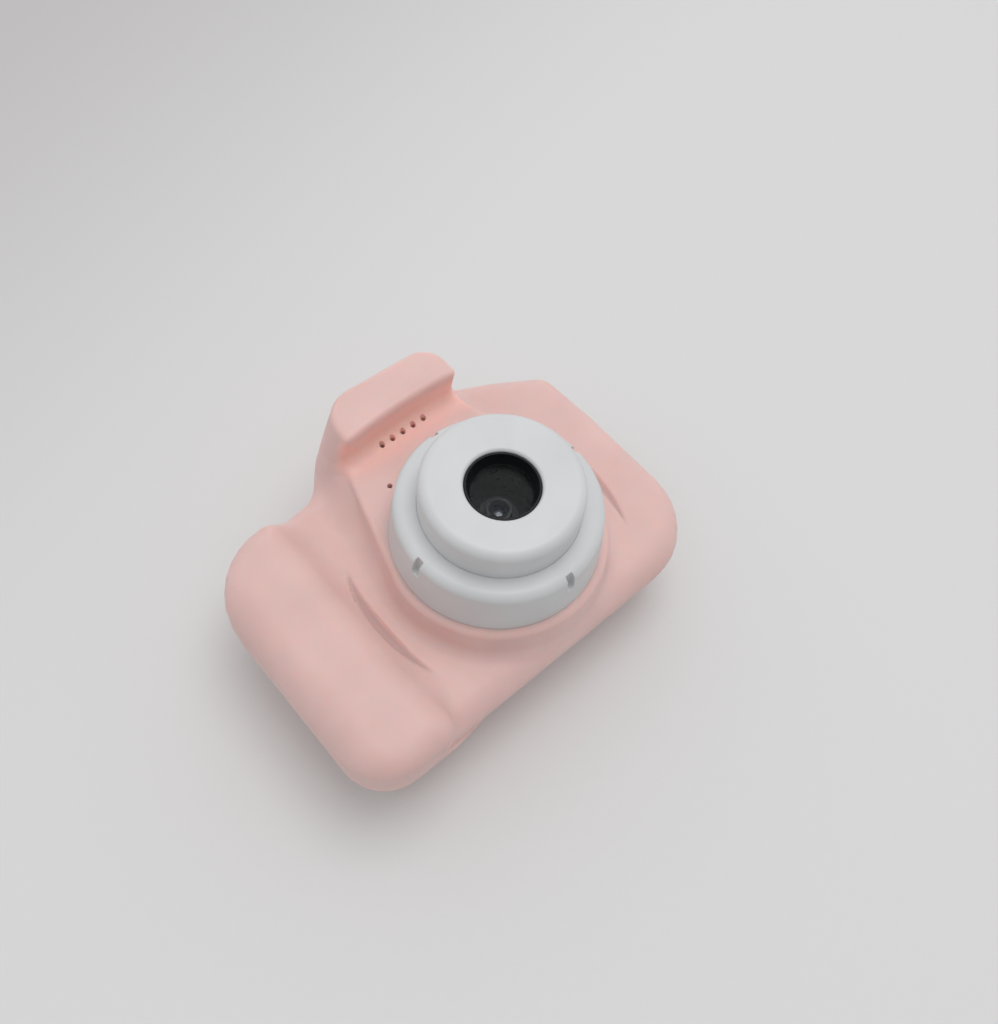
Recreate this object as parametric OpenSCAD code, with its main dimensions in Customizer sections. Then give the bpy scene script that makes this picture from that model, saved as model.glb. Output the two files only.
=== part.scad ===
// Toy camera lying on its back: the lens axis points up (+Z), the top of the camera is
// toward +Y and the grip toward -X. Millimetres; the back of the camera is z = 0.
// The modules work about the lens axis, and placed() moves the lens axis to its place
// beside the centre of the footprint.

/* [Body] */
// Lens axis to the plain end of the body
right_reach = 35.9; // [34.5:0.1:38]
// Lens axis to the outer side of the grip
grip_reach = 45.3; // [44:0.1:48]
// Lens axis to the underside of the body
bottom_reach = 22.2; // [21.6:0.1:24]
// Lens axis to the crown of the hump
top_reach = 37; // [36:0.1:39]
// Depth of the body beside the lens, from the back to the front face
body_depth = 21.5; // [20.5:0.1:24]
// Height of the parting line between the two shells
split_z = 9; // [8.6:0.1:10]
// Depth from the front face to where the body is widest
waist_drop = 6.5; // [5.5:0.1:7.5]
// Lean of the walls from the waist to the back, in degrees
back_lean = 21; // [15:0.5:23]
// Radius of the front edge of the body
front_r = 4.8; // [3:0.1:5.2]
// Radius of the back edge of the body
back_r = 2.5; // [1.5:0.1:3]
// Wall thickness of the shells
wall = 1.8; // [1.4:0.1:2.2]
// Thickness of the flat back
back_wall = 2; // [1.8:0.1:2.2]

/* [Grip] */
// Width of the grip from its outer side to the crease
grip_w = 17.8; // [16.8:0.1:18.8]
// Rise of the grip above the front face
grip_rise = 5.5; // [4:0.1:6.5]
// Lens axis to the upper end of the grip
grip_top = 28.3; // [27.8:0.1:29]
// Drop of the grip below the underside of the body
grip_drop = 1.4; // [0.8:0.1:1.8]
// Radius along the outer front edge of the grip
grip_r = 6.5; // [5:0.1:7]
// Radius of the lower corner of the grip seen from the front
grip_corner_r = 9; // [7:0.1:9.5]
// Radius of the upper corner of the grip seen from the front
grip_head_r = 12.5; // [8:0.1:13]

/* [Platform and hump] */
// Rise of the lens platform above the front face
plat_rise = 6; // [5:0.1:7]
// Radius of the platform at its top edge
plat_r = 20.4; // [20:0.1:21]
// Radius of the platform at its foot
plat_foot_r = 21.8; // [21.2:0.1:22.6]
// Rise of the hump above the platform
hump_rise = 7.3; // [6:0.1:8]
// Lens axis to the brow of the hump
brow_y = 27.4; // [26.9:0.1:28]
// Half width of the brow
brow_w = 12.3; // [11:0.1:13]
// Depth of the two shallow crescents beside the platform
crescent_depth = 0.6; // [0.3:0.1:0.9]

/* [Lens] */
// Diameter of the lens barrel at its foot
barrel_d = 38; // [37:0.1:39]
// Diameter of the lens barrel below its ledge
barrel_neck_d = 36.3; // [35.5:0.1:36.9]
// Height of the lens barrel
barrel_h = 10.2; // [9.5:0.1:11]
// Diameter of the front ring
ring_d = 28.4; // [27.5:0.1:29]
// Rise of the front ring above the barrel
ring_rise = 7.3; // [6.5:0.1:8]
// Diameter of the opening in the front ring
eye_d = 13.2; // [12.8:0.1:14]
// Dish of the front ring's face
ring_dish = 1.2; // [0.6:0.1:1.5]
// Diameter of the clear window
window_d = 12.4; // [12.2:0.1:12.4]
// Thickness of the clear window
window_t = 1; // [0.8:0.1:1.2]

/* [Screen] */
// Width of the screen cover
cover_w = 35; // [30:0.5:40]
// Height of the screen cover
cover_h = 27; // [22:0.5:31]
// Thickness of the screen cover
cover_t = 1; // [0.8:0.1:1]
// Height of the middle of the screen above the middle of the back
screen_up = -0.5; // [-1:0.1:1]
// Thickness of the display frame
display_t = 2.6; // [2.2:0.1:2.8]

/* [Keys] */
// Outer side of the grip to the middle of the key cluster
key_inset = 16.1; // [16:0.1:16.8]
// Height of the middle key above the middle of the back
keys_up = -0.5; // [-1:0.1:1]
// Spacing of the four arrow keys from the middle key
key_pitch = 6.2; // [6:0.1:6.6]
// Spacing of the two single keys from the middle key
key_far = 13; // [12.6:0.1:13.2]
// Diameter of the arrow keys
arrow_d = 4.6; // [4:0.1:4.6]
// Diameter of the middle key
ok_d = 5.4; // [5:0.1:5.6]
// Travel of the keys
key_travel = 0.4; // [0.3:0.05:0.5]
// Diameter of the shutter button
shutter_d = 9; // [8:0.1:9.5]
// Outer side of the grip to the shutter button
shutter_inset = 12.8; // [12.5:0.1:13.8]
// Travel of the shutter button
shutter_travel = 0.6; // [0.4:0.05:0.7]
// Diameter of the power button
power_d = 6; // [5:0.1:6.4]
// Lens axis to the power button
power_x = 22; // [21.5:0.1:23]
// Travel of the power button
power_travel = 0.5; // [0.3:0.05:0.6]

/* [Electronics] */
// Thickness of the circuit boards
board_t = 1.2; // [1:0.1:1.4]
// Gap between the display and the main board
board_gap = 1.4; // [1.2:0.1:1.6]
// Length of the battery
battery_l = 22; // [18:0.5:26]
// Width of the battery
battery_w = 24; // [20:0.5:25]
// Thickness of the battery
battery_t = 6; // [5:0.1:7]
// Diameter of the speaker
speaker_d = 15; // [14:0.1:15.4]
// Depth of the speaker
speaker_t = 4; // [3:0.1:4.4]
// Diameter of the microphone
mic_d = 4.5; // [4:0.1:5]

/* [Holes and fasteners] */
// Diameter of the strap hole
strap_d = 2.6; // [2:0.1:2.8]
// Diameter of the sound holes
sound_d = 0.9; // [0.7:0.05:1.1]
// Spacing of the sound holes
sound_pitch = 2.42; // [2:0.02:2.6]
// Number of sound holes
sound_count = 5; // [3:2:5]
// Diameter of the case screws
screw_d = 2; // [1.8:0.1:2.2]
// Diameter of the small screws
small_screw_d = 1.6; // [1.4:0.1:1.8]

/* [Hidden] */

// Overrun of the cuts
over = 0.5;
least_r = 0.4;
// Clearances: pieces that slide, pieces that are dropped in, and screws in their holes
slide_gap = 0.25;
seat_gap = 0.15;
screw_gap = 0.05;
$fn = 48;
arc_steps = 6;

// Heights of the main levels
plat_z = body_depth + plat_rise;
grip_z = body_depth + grip_rise;
waist_z = body_depth - waist_drop;
hump_z = plat_z + hump_rise;
barrel_z = plat_z + barrel_h;
ring_z = barrel_z + ring_rise;
roof_z = plat_z - wall;

// Place of the lens axis beside the centre of the footprint
lens_x = (grip_reach - right_reach) / 2;
lens_y = (bottom_reach + grip_drop - top_reach) / 2;

// Corners of the body seen from the front: x, y and radius. The grip covers the left end.
body_inset = 3;
body_left = grip_reach - body_inset;
foot_corner_r = 12;
shoulder_lean = 1.4;
lean_y = 10;
side_r = 20;
shoulder_y = 23.2;
shoulder_r = 2;
hump_foot_x = 16;
hump_foot_y = 33.4;
saddle_y = 26.4;
shoulder = [right_reach - shoulder_lean, shoulder_y];
hump_foot = [hump_foot_x, hump_foot_y];
body_corners = [
  [-body_left, -bottom_reach, grip_corner_r],
  [right_reach, -bottom_reach, foot_corner_r],
  [right_reach, lean_y, side_r],
  [shoulder[0], shoulder[1], shoulder_r],
  [hump_foot[0], hump_foot[1], shoulder_r],
  [-body_left, saddle_y, grip_corner_r]
];

// The crease side of the grip
crease_reach = grip_reach - grip_w;
crease_r = 3;
crease_corner_r = 2.5;

// The hump: height of each outline, half widths to its left and right, y of its crown and root.
// Its left flank runs out wide, its right flank stands steep, and its root slopes beside the platform.
hump_left_w = 19.5;
hump_right_w = 14.6;
hump_x = 0.6;
hump_crown_r = 5.5;
hump_tail_z = 3;
hump_tail_drop = 10.5;
hump_belly_z = 19.5;
hump_belly_drop = 0.3;
hump_neck_z = 29;
hump_neck_left_w = 14.8;
hump_neck_right_w = 13.2;
brow_r = 1.3;
brow_back = 0.2;
hump_root_y = 25;
hump_skirt = 7.8;
hump_tail_root = 9;
hump_slope = (hump_tail_drop - hump_belly_drop) / (hump_belly_z - hump_tail_z);
function hump_back(z) = top_reach - hump_belly_drop - (hump_belly_z - z) * hump_slope;
hump_low_y = hump_root_y - hump_tail_root;
hump_levels = [
  [hump_tail_z, hump_neck_left_w, hump_neck_right_w, hump_back(hump_tail_z), hump_low_y],
  [hump_belly_z, hump_left_w, hump_right_w, hump_back(hump_belly_z), hump_root_y - hump_skirt],
  [hump_neck_z, hump_neck_left_w, hump_neck_right_w, top_reach, hump_root_y],
  [hump_z - brow_r, brow_w, brow_w, top_reach - brow_back, hump_root_y],
  [hump_z, brow_w - brow_r, brow_w - brow_r, top_reach - brow_r, hump_root_y]
];

// The platform's straight flanks run from the circle to the hump
plat_flank = 6;
plat_flank_w = 12.2;
plat_edge_r = 0.8;

// Crescents: radius of the outer arc, width in the middle, half angle of the tips
crescent_r = 26;
crescent_w = 2.4;
crescent_half = 29;

// Middle of the key cluster, and the shutter button
keys_x = key_inset - grip_reach;
back_mid = (grip_top - bottom_reach) / 2;
keys_y = back_mid + keys_up;
shutter_x = shutter_inset - grip_reach;

// Sockets on the right edge of the main board, one above the other
post_foot = 9.8;
post_low_y = post_foot - bottom_reach;
card_up = 9.4;
card_y = post_low_y + card_up;
usb_up = 10.8;
usb_y = card_y + usb_up;

// Case screws: places of the posts, and sizes of the posts, heads and shanks
post_inset = 9.6;
post_right_x = right_reach - post_inset;
post_from_keys = 6.7;
post_left_x = keys_x + post_from_keys;
post_from_usb = 7.7;
post_right_high_y = usb_y + post_from_usb;
post_head = 10.3;
post_left_high_y = grip_top - post_head;
posts = [
  [post_right_x, post_low_y],
  [post_right_x, post_right_high_y],
  [post_left_x, post_low_y],
  [post_left_x, post_left_high_y]
];
post_d = 5.5;
spigot_d = 3.8;
head_d = 3.6;
head_t = 1.5;
head_seat_z = 3;
screw_l = 13;
small_head_d = 3;
small_head_t = 1.2;
small_screw_l = 3.8;
barrel_screw_l = 7;
drive_share = 0.5;

// Ribs and bosses reach this far into the wall that carries them
root = 0.6;
rib_t = 1.2;
rib_h = 3;

// Strap tunnel across the lower corner
strap_depth = 2.9;
strap_z = 16;
strap_boss_wall = 1;
strap_boss_l = 14;

// Sound holes and microphone
sound_y = 26.4;
mic_x = -9;
mic_y = 18.8;
mic_t = 2.2;

// Lens barrel and ring
eye_hole_r = 8;
barrel_floor = 2;
barrel_edge_r = 1;
barrel_screw_r = 16.4;
barrel_screw_angles = [60, 180, 300];
notch_w = 1.5;
notch_h = 3.7;
notch_r = 16.5;
notch_count = 4;
ring_gap = 0.3;
ring_wall = 1.8;
ring_face_t = 1.5;
ring_edge_r = 0.8;
eye_edge_r = 0.5;

// Bezel behind the opening, with the window under its lip
bezel_gap = 0.1;
bezel_lip = 0.35;
bezel_mouth_r = 5.3;
bezel_depth = 2.4;
bezel_flange = 2.4;
bezel_flange_t = 1.2;
bezel_wall = 1;

// Camera module
module_board_w = 26;
module_board_h = 14;
module_board_t = 1;
module_drop = 1.7;
module_screw_x = 10.5;
module_boss_d = 4.4;
module_ribbon_in = 2;
holder_w = 11;
holder_h = 6;
holder_cap_r = 7;
holder_cap_t = 1;
holder_room = 2;
sensor_w = 6;
sensor_t = 0.9;
cell_r = 3.5;
cell_top_r = 2.4;
cell_sink = 4;
cell_h = 2.6;
cell_top_h = 1.7;
cell_bore_r = 1.5;
cell_eye_r = 1.2;
cell_cup = 0.6;
glass_t = 1;

// Levels of the inside
display_z = back_wall;
board_z = display_z + display_t + board_gap;
board_top = board_z + board_t;
board_inset = 6.5;
board_right = right_reach - board_inset;
board_left = board_inset - grip_reach;
board_foot = 6.2;
board_low = board_foot - bottom_reach;
board_head = 6.8;
board_high = grip_top - board_head;
board_r = 5;
board_w = board_right - board_left;
board_h = board_high - board_low;
board_x = (board_right + board_left) / 2;
board_y = (board_high + board_low) / 2;
module_top = roof_z - module_drop;
module_z = module_top - module_board_t;
holder_z = module_top + holder_h;
cell_z = holder_z + holder_cap_t + cell_h;

// Screen, midway between the keys and the right posts
cover_recess = 0.2;
cover_r = 2;
cover_ledge = 1.5;
frame_in_w = 0.5;
frame_in_h = 0.3;
frame_rim = 0.8;
panel_t = 1.4;
pad_w = 24;
pad_h = 16;
display_ribbon_w = 12;
ribbon_t = 0.15;
display_ribbon_run = 1.2;

// Keys: recess of the faces, flanges behind the wall, stems, and switches on the board
key_recess = 0.3;
flange_over = 0.45;
keys_right = keys_x + key_pitch + arrow_d / 2 + flange_over;
screen_x = (keys_right + post_right_x - post_d / 2) / 2;
screen_y = back_mid + screen_up;
flange_gap = 0.2;
flange_t = 0.8;
stem_r = 1;
plunger_r = 1.1;
plunger_gap = 0.06;
plunger_out = 0.6;
plunger_in = 0.6;
switch_w = 4.4;
switch_h = 2;

// Top buttons: axis height, guide tube, rise above the wall, and switches on their boards
top_key_drop = 1;
top_key_z = waist_z - top_key_drop;
tube_in = 4.8;
cap_rise = 1.2;
cap_edge_r = 0.6;
top_plunger_r = 1.7;
top_plunger_out = 1.2;
top_plunger_in = 0.8;
top_switch_w = 6;
top_switch_h = 3;
top_board_w = 8;
top_board_rise = 4;

// Sockets and memory card
usb_w = 7.5;
usb_h = 2.6;
usb_inset = 11.9;
usb_in = right_reach - usb_inset;
usb_l = 6.2;
usb_shell_t = 0.3;
usb_mouth = 4.5;
usb_tongue_w = 4;
usb_tongue_t = 0.6;
port_gap = 0.3;
card_w = 11;
card_l = 15;
card_t = 0.8;
card_proud = 0.5;
card_gap = 0.2;
card_ridge_w = 1;
card_ridge_t = 0.15;
card_socket_wall = 0.6;
card_socket_l = 14.5;
card_socket_inset = 22.4;
card_socket_in = right_reach - card_socket_inset;
card_floor = 0.3;

// Parts on the main board
// Chips: middle and size, as shares of the board's width and height about its middle
chip_t = 1;
chip_shares = [
  [-0.05, 0.33, 0.12, 0.13],
  [0.13, 0.33, 0.1, 0.13],
  [-0.36, -0.31, 0.09, 0.2],
  [0.37, -0.42, 0.08, 0.1]
];
battery_r = 1.5;
battery_pad_t = 1;
battery_pad_in = 2.5;
socket_w = 9;
socket_d = 2.4;
socket_h = 1.4;
ribbon_w = 6;
ribbon_in = 1.7;
ribbon_y = board_low + ribbon_in;
ribbon_clear = 1.2;
ribbon_fold_z = body_depth - wall - ribbon_clear;
ribbon_run = 1.5;
ribbon_fold_y = -module_board_h / 2 - ribbon_run;
battery_gap = 1.3;
battery_x = (post_left_x + card_socket_in) / 2;
battery_y = ribbon_y + battery_gap + battery_w / 2;

// Outlines and skins

function xy(p) = [p[0], p[1]];
function unit(v) = v / norm(v);
function inward(p, q) = let (d = unit(xy(q) - xy(p))) [-d[1], d[0]];
function around(c, k) = c[(k + len(c)) % len(c)];

// Corners moved in by a distance, with their radii cut down alike
function shrunk(c, by) = [
  for (k = [0 : len(c) - 1])
    let (
      n = inward(around(c, k - 1), c[k]),
      m = inward(c[k], around(c, k + 1)),
      v = by * (n + m) / (1 + n * m)
    )
    [c[k][0] + v[0], c[k][1] + v[1], max(c[k][2] - by, least_r)]
];

// Outline points of a convex set of corners, each rounded by its own radius
function rounded(c) = [
  for (k = [0 : len(c) - 1])
    let (
      p = xy(c[k]),
      u = unit(xy(around(c, k - 1)) - p),
      v = unit(xy(around(c, k + 1)) - p),
      half = acos(u * v) / 2,
      centre = p + unit(u + v) * c[k][2] / sin(half),
      start = p + u * c[k][2] / tan(half) - centre,
      from = atan2(start[1], start[0])
    )
    for (s = [0 : arc_steps])
      let (a = from + (180 - 2 * half) * s / arc_steps)
      centre + c[k][2] * [cos(a), sin(a)]
];

// Points of an arc in a profile
function arc(centre, r, from, to) = [
  for (s = [0 : arc_steps])
    let (a = from + (to - from) * s / arc_steps)
    centre + r * [cos(a), sin(a)]
];

function rect(x, y, w, h, r) = rounded([
  [x - w / 2, y - h / 2, r],
  [x + w / 2, y - h / 2, r],
  [x + w / 2, y + h / 2, r],
  [x - w / 2, y + h / 2, r]
]);

// Closed skin over a stack of outlines with equal numbers of points
module loft(outlines, heights) {
  n = len(outlines[0]);
  m = len(outlines);
  points = [
    for (k = [0 : m - 1])
      for (p = outlines[k])
        [p[0], p[1], heights[k]]
  ];
  sides = [
    for (k = [0 : m - 2])
      for (i = [0 : n - 1])
        let (a = k * n + i, b = k * n + (i + 1) % n)
        each [[a, a + n, b + n], [a, b + n, b]]
  ];
  low = [for (i = [0 : n - 1]) i];
  high = [for (i = [0 : n - 1]) m * n - 1 - i];
  polyhedron(points, concat([low], [high], sides));
}

// Joins crossing skins in one skin of the same size
module one_skin() {
  resize([0, 0, 0])
    children();
}

module plate(outline, z, t) {
  translate([0, 0, z])
    linear_extrude(t)
      polygon(outline);
}

module block(x, y, w, h, z, t) {
  translate([x - w / 2, y - h / 2, z])
    cube([w, h, t]);
}

module disc(x, y, r, z, t) {
  translate([x, y, z])
    cylinder(h = t, r = r);
}

// Body forms, as a skin or as the hollow that lies one skin thickness inside it

// Distance that the walls lean in at a height below the waist
function lean_at(z) = (waist_z - z) * tan(back_lean);
back_turn = 90 - back_lean;
back_edge = lean_at(0) + back_r * tan(back_turn / 2);

function back_levels(skin) =
  skin > 0 ? [[lean_at(back_wall) + skin, back_wall], [skin, waist_z]] : concat(
    [
      for (s = [0 : arc_steps / 2])
        let (a = back_turn * s / (arc_steps / 2))
        [back_edge - back_r * sin(a), back_r * (1 - cos(a))]
    ],
    [[0, waist_z]]
  );

function front_levels(skin, r, top) = [
  for (s = [0 : arc_steps])
    let (a = 90 * s / arc_steps)
    [r - (r - skin) * cos(a), top - r + (r - skin) * sin(a)]
];

module slab(skin) {
  levels = concat(back_levels(skin), front_levels(skin, front_r, body_depth));
  loft([for (l = levels) rounded(shrunk(body_corners, l[0]))], [for (l = levels) l[1]]);
}

// The crease side of the grip follows its own smaller radius
function crease_at(z, skin) =
  let (rise = max(z - (grip_z - crease_r), 0), r = crease_r - skin)
  max(crease_r - sqrt(max(r * r - rise * rise, 0)), skin);

function grip_outline(out, in) =
  let (
    low = -bottom_reach - grip_drop + out,
    high = grip_top - out,
    r = max(grip_corner_r - out, least_r),
    h = max(grip_head_r - out, least_r),
    q = max(crease_corner_r - out, least_r)
  )
  rounded([
    [-grip_reach + out, low, r],
    [-crease_reach - in, low, q],
    [-crease_reach - in, high, q],
    [-grip_reach + out, high, h]
  ]);

module grip(skin) {
  levels = concat(back_levels(skin), front_levels(skin, grip_r, grip_z));
  loft(
    [for (l = levels) grip_outline(l[0], crease_at(l[1], skin))],
    [for (l = levels) l[1]]
  );
}

function hump_outline(l, r) = rounded([
  [-l[1], l[4], least_r],
  [l[2], l[4], least_r],
  [l[2], l[3], r],
  [-l[1], l[3], r]
]);

module hump_form(levels, r) {
  translate([hump_x, 0, 0])
    loft([for (l = levels) hump_outline(l, r)], [for (l = levels) l[0]]);
}

// Space in front of the hump, from a height up and as far as a brow
module before_brow(z, y) {
  translate([hump_x - hump_left_w, 0, z])
    cube([2 * hump_left_w, y, hump_z - z + over]);
}

// The hump stands over the platform with an upright brow
module hump() {
  difference() {
    hump_form(hump_levels, hump_crown_r);
    before_brow(plat_z, brow_y);
  }
}

// Its hollow is a straight shaft behind the brow that opens into the body
module hump_hollow() {
  half = plat_flank_w - wall;
  low_z = split_z - over;
  high_z = hump_z - wall;
  difference() {
    hump_form(
      [
        [low_z, half, half, hump_back(low_z) - wall, hump_low_y],
        [hump_belly_z, half, half, hump_back(hump_belly_z) - wall, hump_low_y],
        [high_z, half, half, top_reach - brow_r - wall, hump_low_y]
      ],
      hump_crown_r - wall
    );
    before_brow(roof_z, brow_y + wall);
  }
}

function plat_outline(r, w) = concat(
  [
    for (s = [0 : 6 * arc_steps])
      let (a = 180 - plat_flank + (180 + 2 * plat_flank) * s / (6 * arc_steps))
      r * [cos(a), sin(a)]
  ],
  [[w, brow_y + wall + root], [-w, brow_y + wall + root]]
);

module platform() {
  spread = plat_foot_r - plat_r;
  loft(
    [
      plat_outline(plat_foot_r, plat_flank_w + spread),
      plat_outline(plat_r, plat_flank_w),
      plat_outline(plat_r - plat_edge_r, plat_flank_w - plat_edge_r)
    ],
    [body_depth - wall, plat_z - plat_edge_r, plat_z]
  );
}

module platform_hollow() {
  low = body_depth - 2 * wall;
  plate(plat_outline(plat_r - wall, plat_flank_w - wall), low, roof_z - low);
}

// Everything above or below the parting line
module half(above) {
  side = 2 * (grip_reach + top_reach);
  translate([-side / 2, -side / 2, above ? split_z : split_z - side])
    cube(side);
}

// Places

module along_strap() {
  out = (foot_corner_r - strap_depth) * [cos(45), -sin(45)];
  translate([right_reach - foot_corner_r + out[0], foot_corner_r - bottom_reach + out[1], strap_z])
    rotate([0, 90, 45])
      children();
}

// The shutter looks up from the grip, and the power button up from the sloping shoulder.
// In these places +Y points out of the wall.
module at_shutter() {
  translate([shutter_x, grip_top, top_key_z])
    children();
}

shoulder_fall = atan((hump_foot[1] - shoulder[1]) / (shoulder[0] - hump_foot[0]));
module at_power() {
  translate([power_x, shoulder[1] + (shoulder[0] - power_x) * tan(shoulder_fall), top_key_z])
    rotate([0, 0, -shoulder_fall])
      children();
}

// Keys of the back: place beside the middle key, and diameter
keys = [
  [0, 0, ok_d],
  [0, key_pitch, arrow_d],
  [0, -key_pitch, arrow_d],
  [-key_pitch, 0, arrow_d],
  [key_pitch, 0, arrow_d],
  [0, -key_far, arrow_d],
  [0, key_far, arrow_d]
];
module at_key(k) {
  translate([keys_x + keys[k][0], keys_y + keys[k][1], 0])
    children();
}

// Cylinder along +Y from one place to another
module rod(d, from, to) {
  translate([0, from, 0])
    rotate([-90, 0, 0])
      cylinder(h = to - from, d = d);
}

// Shells

module crescent() {
  tip = crescent_r * sin(crescent_half);
  inner_x = crescent_r - crescent_w;
  sag = inner_x - crescent_r * cos(crescent_half);
  inner_r = (tip * tip + sag * sag) / (2 * sag);
  translate([0, 0, body_depth - crescent_depth])
    linear_extrude(crescent_depth + over)
      difference() {
        circle(crescent_r);
        translate([inner_x - inner_r, 0])
          circle(inner_r);
      }
}

function tube_d(d) = d + 2 * (slide_gap + rib_t);
module guide_tube(d) {
  rod(tube_d(d), -tube_in, -lean_at(top_key_z - tube_d(d) / 2) - seat_gap);
}
module guide_bore(d) {
  rod(d + 2 * slide_gap, -tube_in - over, tube_in);
}

module guide_tubes() {
  at_shutter()
    guide_tube(shutter_d);
  at_power()
    guide_tube(power_d);
}

module guide_bores() {
  at_shutter()
    guide_bore(shutter_d);
  at_power()
    guide_bore(power_d);
}

// Openings for the plug and the card through the plain end
module ports() {
  out = right_reach + over;
  translate([usb_in + usb_l - usb_mouth, usb_y - usb_w / 2 - port_gap, board_top - port_gap])
    cube([out - usb_in - usb_l + usb_mouth, usb_w + 2 * port_gap, usb_h + 2 * port_gap]);
  translate([board_right, card_y - card_w / 2 - port_gap, board_top + card_floor - card_gap])
    cube([out - board_right, card_w + 2 * port_gap, card_t + card_ridge_t + 3 * card_gap]);
}

// Boss round the strap tunnel, inside the outer skin
module strap_boss() {
  intersection() {
    slab(0);
    along_strap()
      cylinder(h = strap_boss_l, d = strap_d + 2 * strap_boss_wall, center = true);
  }
}

module front_skin() {
  one_skin() {
    strap_boss();
    difference() {
      union() {
        slab(0);
        grip(0);
        hump();
        platform();
      }
      half(false);
      slab(wall);
      grip(wall);
      hump_hollow();
      platform_hollow();
    }
  }
}

module front_shell() {
  boss_l = body_depth - wall + root - board_top;
  rib_z = roof_z - rib_h;
  through = wall + 2 * over;
  sound_row = (sound_count - 1) / 2;
  color("pink")
    difference() {
      union() {
        front_skin();
        for (p = posts)
          disc(p[0], p[1], post_d / 2, board_top, boss_l);
        for (s = [-1, 1])
          disc(s * module_screw_x, 0, module_boss_d / 2, module_top, module_drop + root);
        disc(0, sound_y, speaker_d / 2 + seat_gap + rib_t, rib_z, rib_h + root);
        disc(mic_x, mic_y, mic_d / 2 + seat_gap + rib_t, rib_z, rib_h + root);
        difference() {
          guide_tubes();
          half(false);
        }
      }
      for (p = posts) {
        socket_t = split_z + seat_gap - board_top;
        thread_t = head_seat_z + screw_l - split_z;
        disc(p[0], p[1], spigot_d / 2 + seat_gap, board_top - over, socket_t + over);
        disc(p[0], p[1], screw_d / 2 + screw_gap, split_z, thread_t + over);
      }
      for (s = [-1, 1])
        disc(s * module_screw_x, 0, small_screw_d / 2 + screw_gap, module_top - over, small_screw_l + over);
      for (a = barrel_screw_angles)
        rotate(a)
          disc(barrel_screw_r, 0, small_screw_d / 2 + screw_gap, roof_z - over, through);
      disc(0, 0, eye_hole_r, roof_z - over, through);
      disc(0, sound_y, speaker_d / 2 + seat_gap, rib_z - over, rib_h + over);
      disc(mic_x, mic_y, mic_d / 2 + seat_gap, rib_z - over, rib_h + over);
      for (k = [-sound_row : sound_row])
        disc(k * sound_pitch, sound_y, sound_d / 2, roof_z - over, through);
      disc(mic_x, mic_y, sound_d / 2, roof_z - over, through);
      crescent();
      mirror([1, 0, 0])
        crescent();
      along_strap()
        cylinder(h = 2 * foot_corner_r, d = strap_d, center = true);
      guide_bores();
      ports();
    }
}

module rear_skin() {
  one_skin()
    difference() {
      union() {
        slab(0);
        grip(0);
        hump();
      }
      half(true);
      slab(wall);
      grip(wall);
    }
}

module rear_shell() {
  cover_seat = cover_recess + cover_t;
  color("pink")
    difference() {
      union() {
        rear_skin();
        for (p = posts) {
          disc(p[0], p[1], post_d / 2, back_wall / 2, board_z - back_wall / 2);
          disc(p[0], p[1], spigot_d / 2, board_z - root, split_z - board_z + root);
        }
        difference() {
          guide_tubes();
          half(true);
        }
      }
      for (p = posts) {
        disc(p[0], p[1], head_d / 2 + slide_gap, -over, head_seat_z + over);
        disc(p[0], p[1], screw_d / 2 + screw_gap, 0, split_z + over);
      }
      plate(
        rect(screen_x, screen_y, cover_w + 2 * seat_gap, cover_h + 2 * seat_gap, cover_r),
        -over,
        cover_seat + over
      );
      plate(
        rect(screen_x, screen_y, cover_w - 2 * cover_ledge, cover_h - 2 * cover_ledge, cover_r),
        0,
        back_wall + over
      );
      for (k = [0 : len(keys) - 1])
        at_key(k)
          disc(0, 0, keys[k][2] / 2 + slide_gap, -over, back_wall + 2 * over);
      guide_bores();
      ports();
    }
}

// Lens

module lens_barrel() {
  r0 = barrel_d / 2;
  r1 = barrel_neck_d / 2;
  bore = ring_d / 2 + ring_gap;
  floor_z = plat_z + barrel_floor;
  color("whitesmoke")
    difference() {
      rotate_extrude()
        polygon(concat(
          [[eye_hole_r, plat_z], [r0, plat_z]],
          arc([r1 - barrel_edge_r, barrel_z - barrel_edge_r], barrel_edge_r, 0, 90),
          [[bore, barrel_z], [bore, floor_z], [eye_hole_r, floor_z]]
        ));
      for (k = [0 : notch_count - 1])
        rotate(k * 360 / notch_count)
          translate([notch_r, 0, barrel_z - notch_h + notch_w / 2]) {
            rotate([0, 90, 0])
              cylinder(h = r0, d = notch_w);
            translate([0, -notch_w / 2, 0])
              cube([r0, notch_w, notch_h]);
          }
      for (a = barrel_screw_angles)
        rotate(a)
          disc(barrel_screw_r, 0, small_screw_d / 2 + screw_gap, plat_z - over, barrel_screw_l + over);
    }
}

module front_ring() {
  r = ring_d / 2;
  eye = eye_d / 2;
  floor_z = plat_z + barrel_floor;
  rim_z = ring_z - ring_dish;
  under_z = rim_z - ring_face_t;
  color("white")
    rotate_extrude()
      polygon(concat(
        [[r - ring_wall, floor_z], [r, floor_z]],
        arc([r - ring_edge_r, ring_z - ring_edge_r], ring_edge_r, 0, 90),
        arc([eye + eye_edge_r, rim_z - eye_edge_r], eye_edge_r, 90, 180),
        [[eye, under_z], [r - ring_wall, under_z]]
      ));
}

bezel_z = ring_z - ring_dish - bezel_lip;
bezel_flange_z = ring_z - ring_dish - ring_face_t;
window_z = bezel_z - bezel_depth;
module lens_bezel() {
  mouth = eye_d / 2 - bezel_gap;
  seat = window_d / 2 + bezel_gap;
  tube = seat + bezel_wall;
  foot = holder_z + holder_cap_t + seat_gap;
  flange_foot = bezel_flange_z - bezel_flange_t;
  color("black")
    rotate_extrude()
      polygon([
        [bezel_mouth_r, window_z],
        [seat, window_z],
        [seat, foot],
        [tube, foot],
        [tube, flange_foot],
        [mouth + bezel_flange, flange_foot],
        [mouth + bezel_flange, bezel_flange_z],
        [mouth, bezel_flange_z],
        [mouth, bezel_z],
        [mouth - bezel_lip, bezel_z]
      ]);
}

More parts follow.
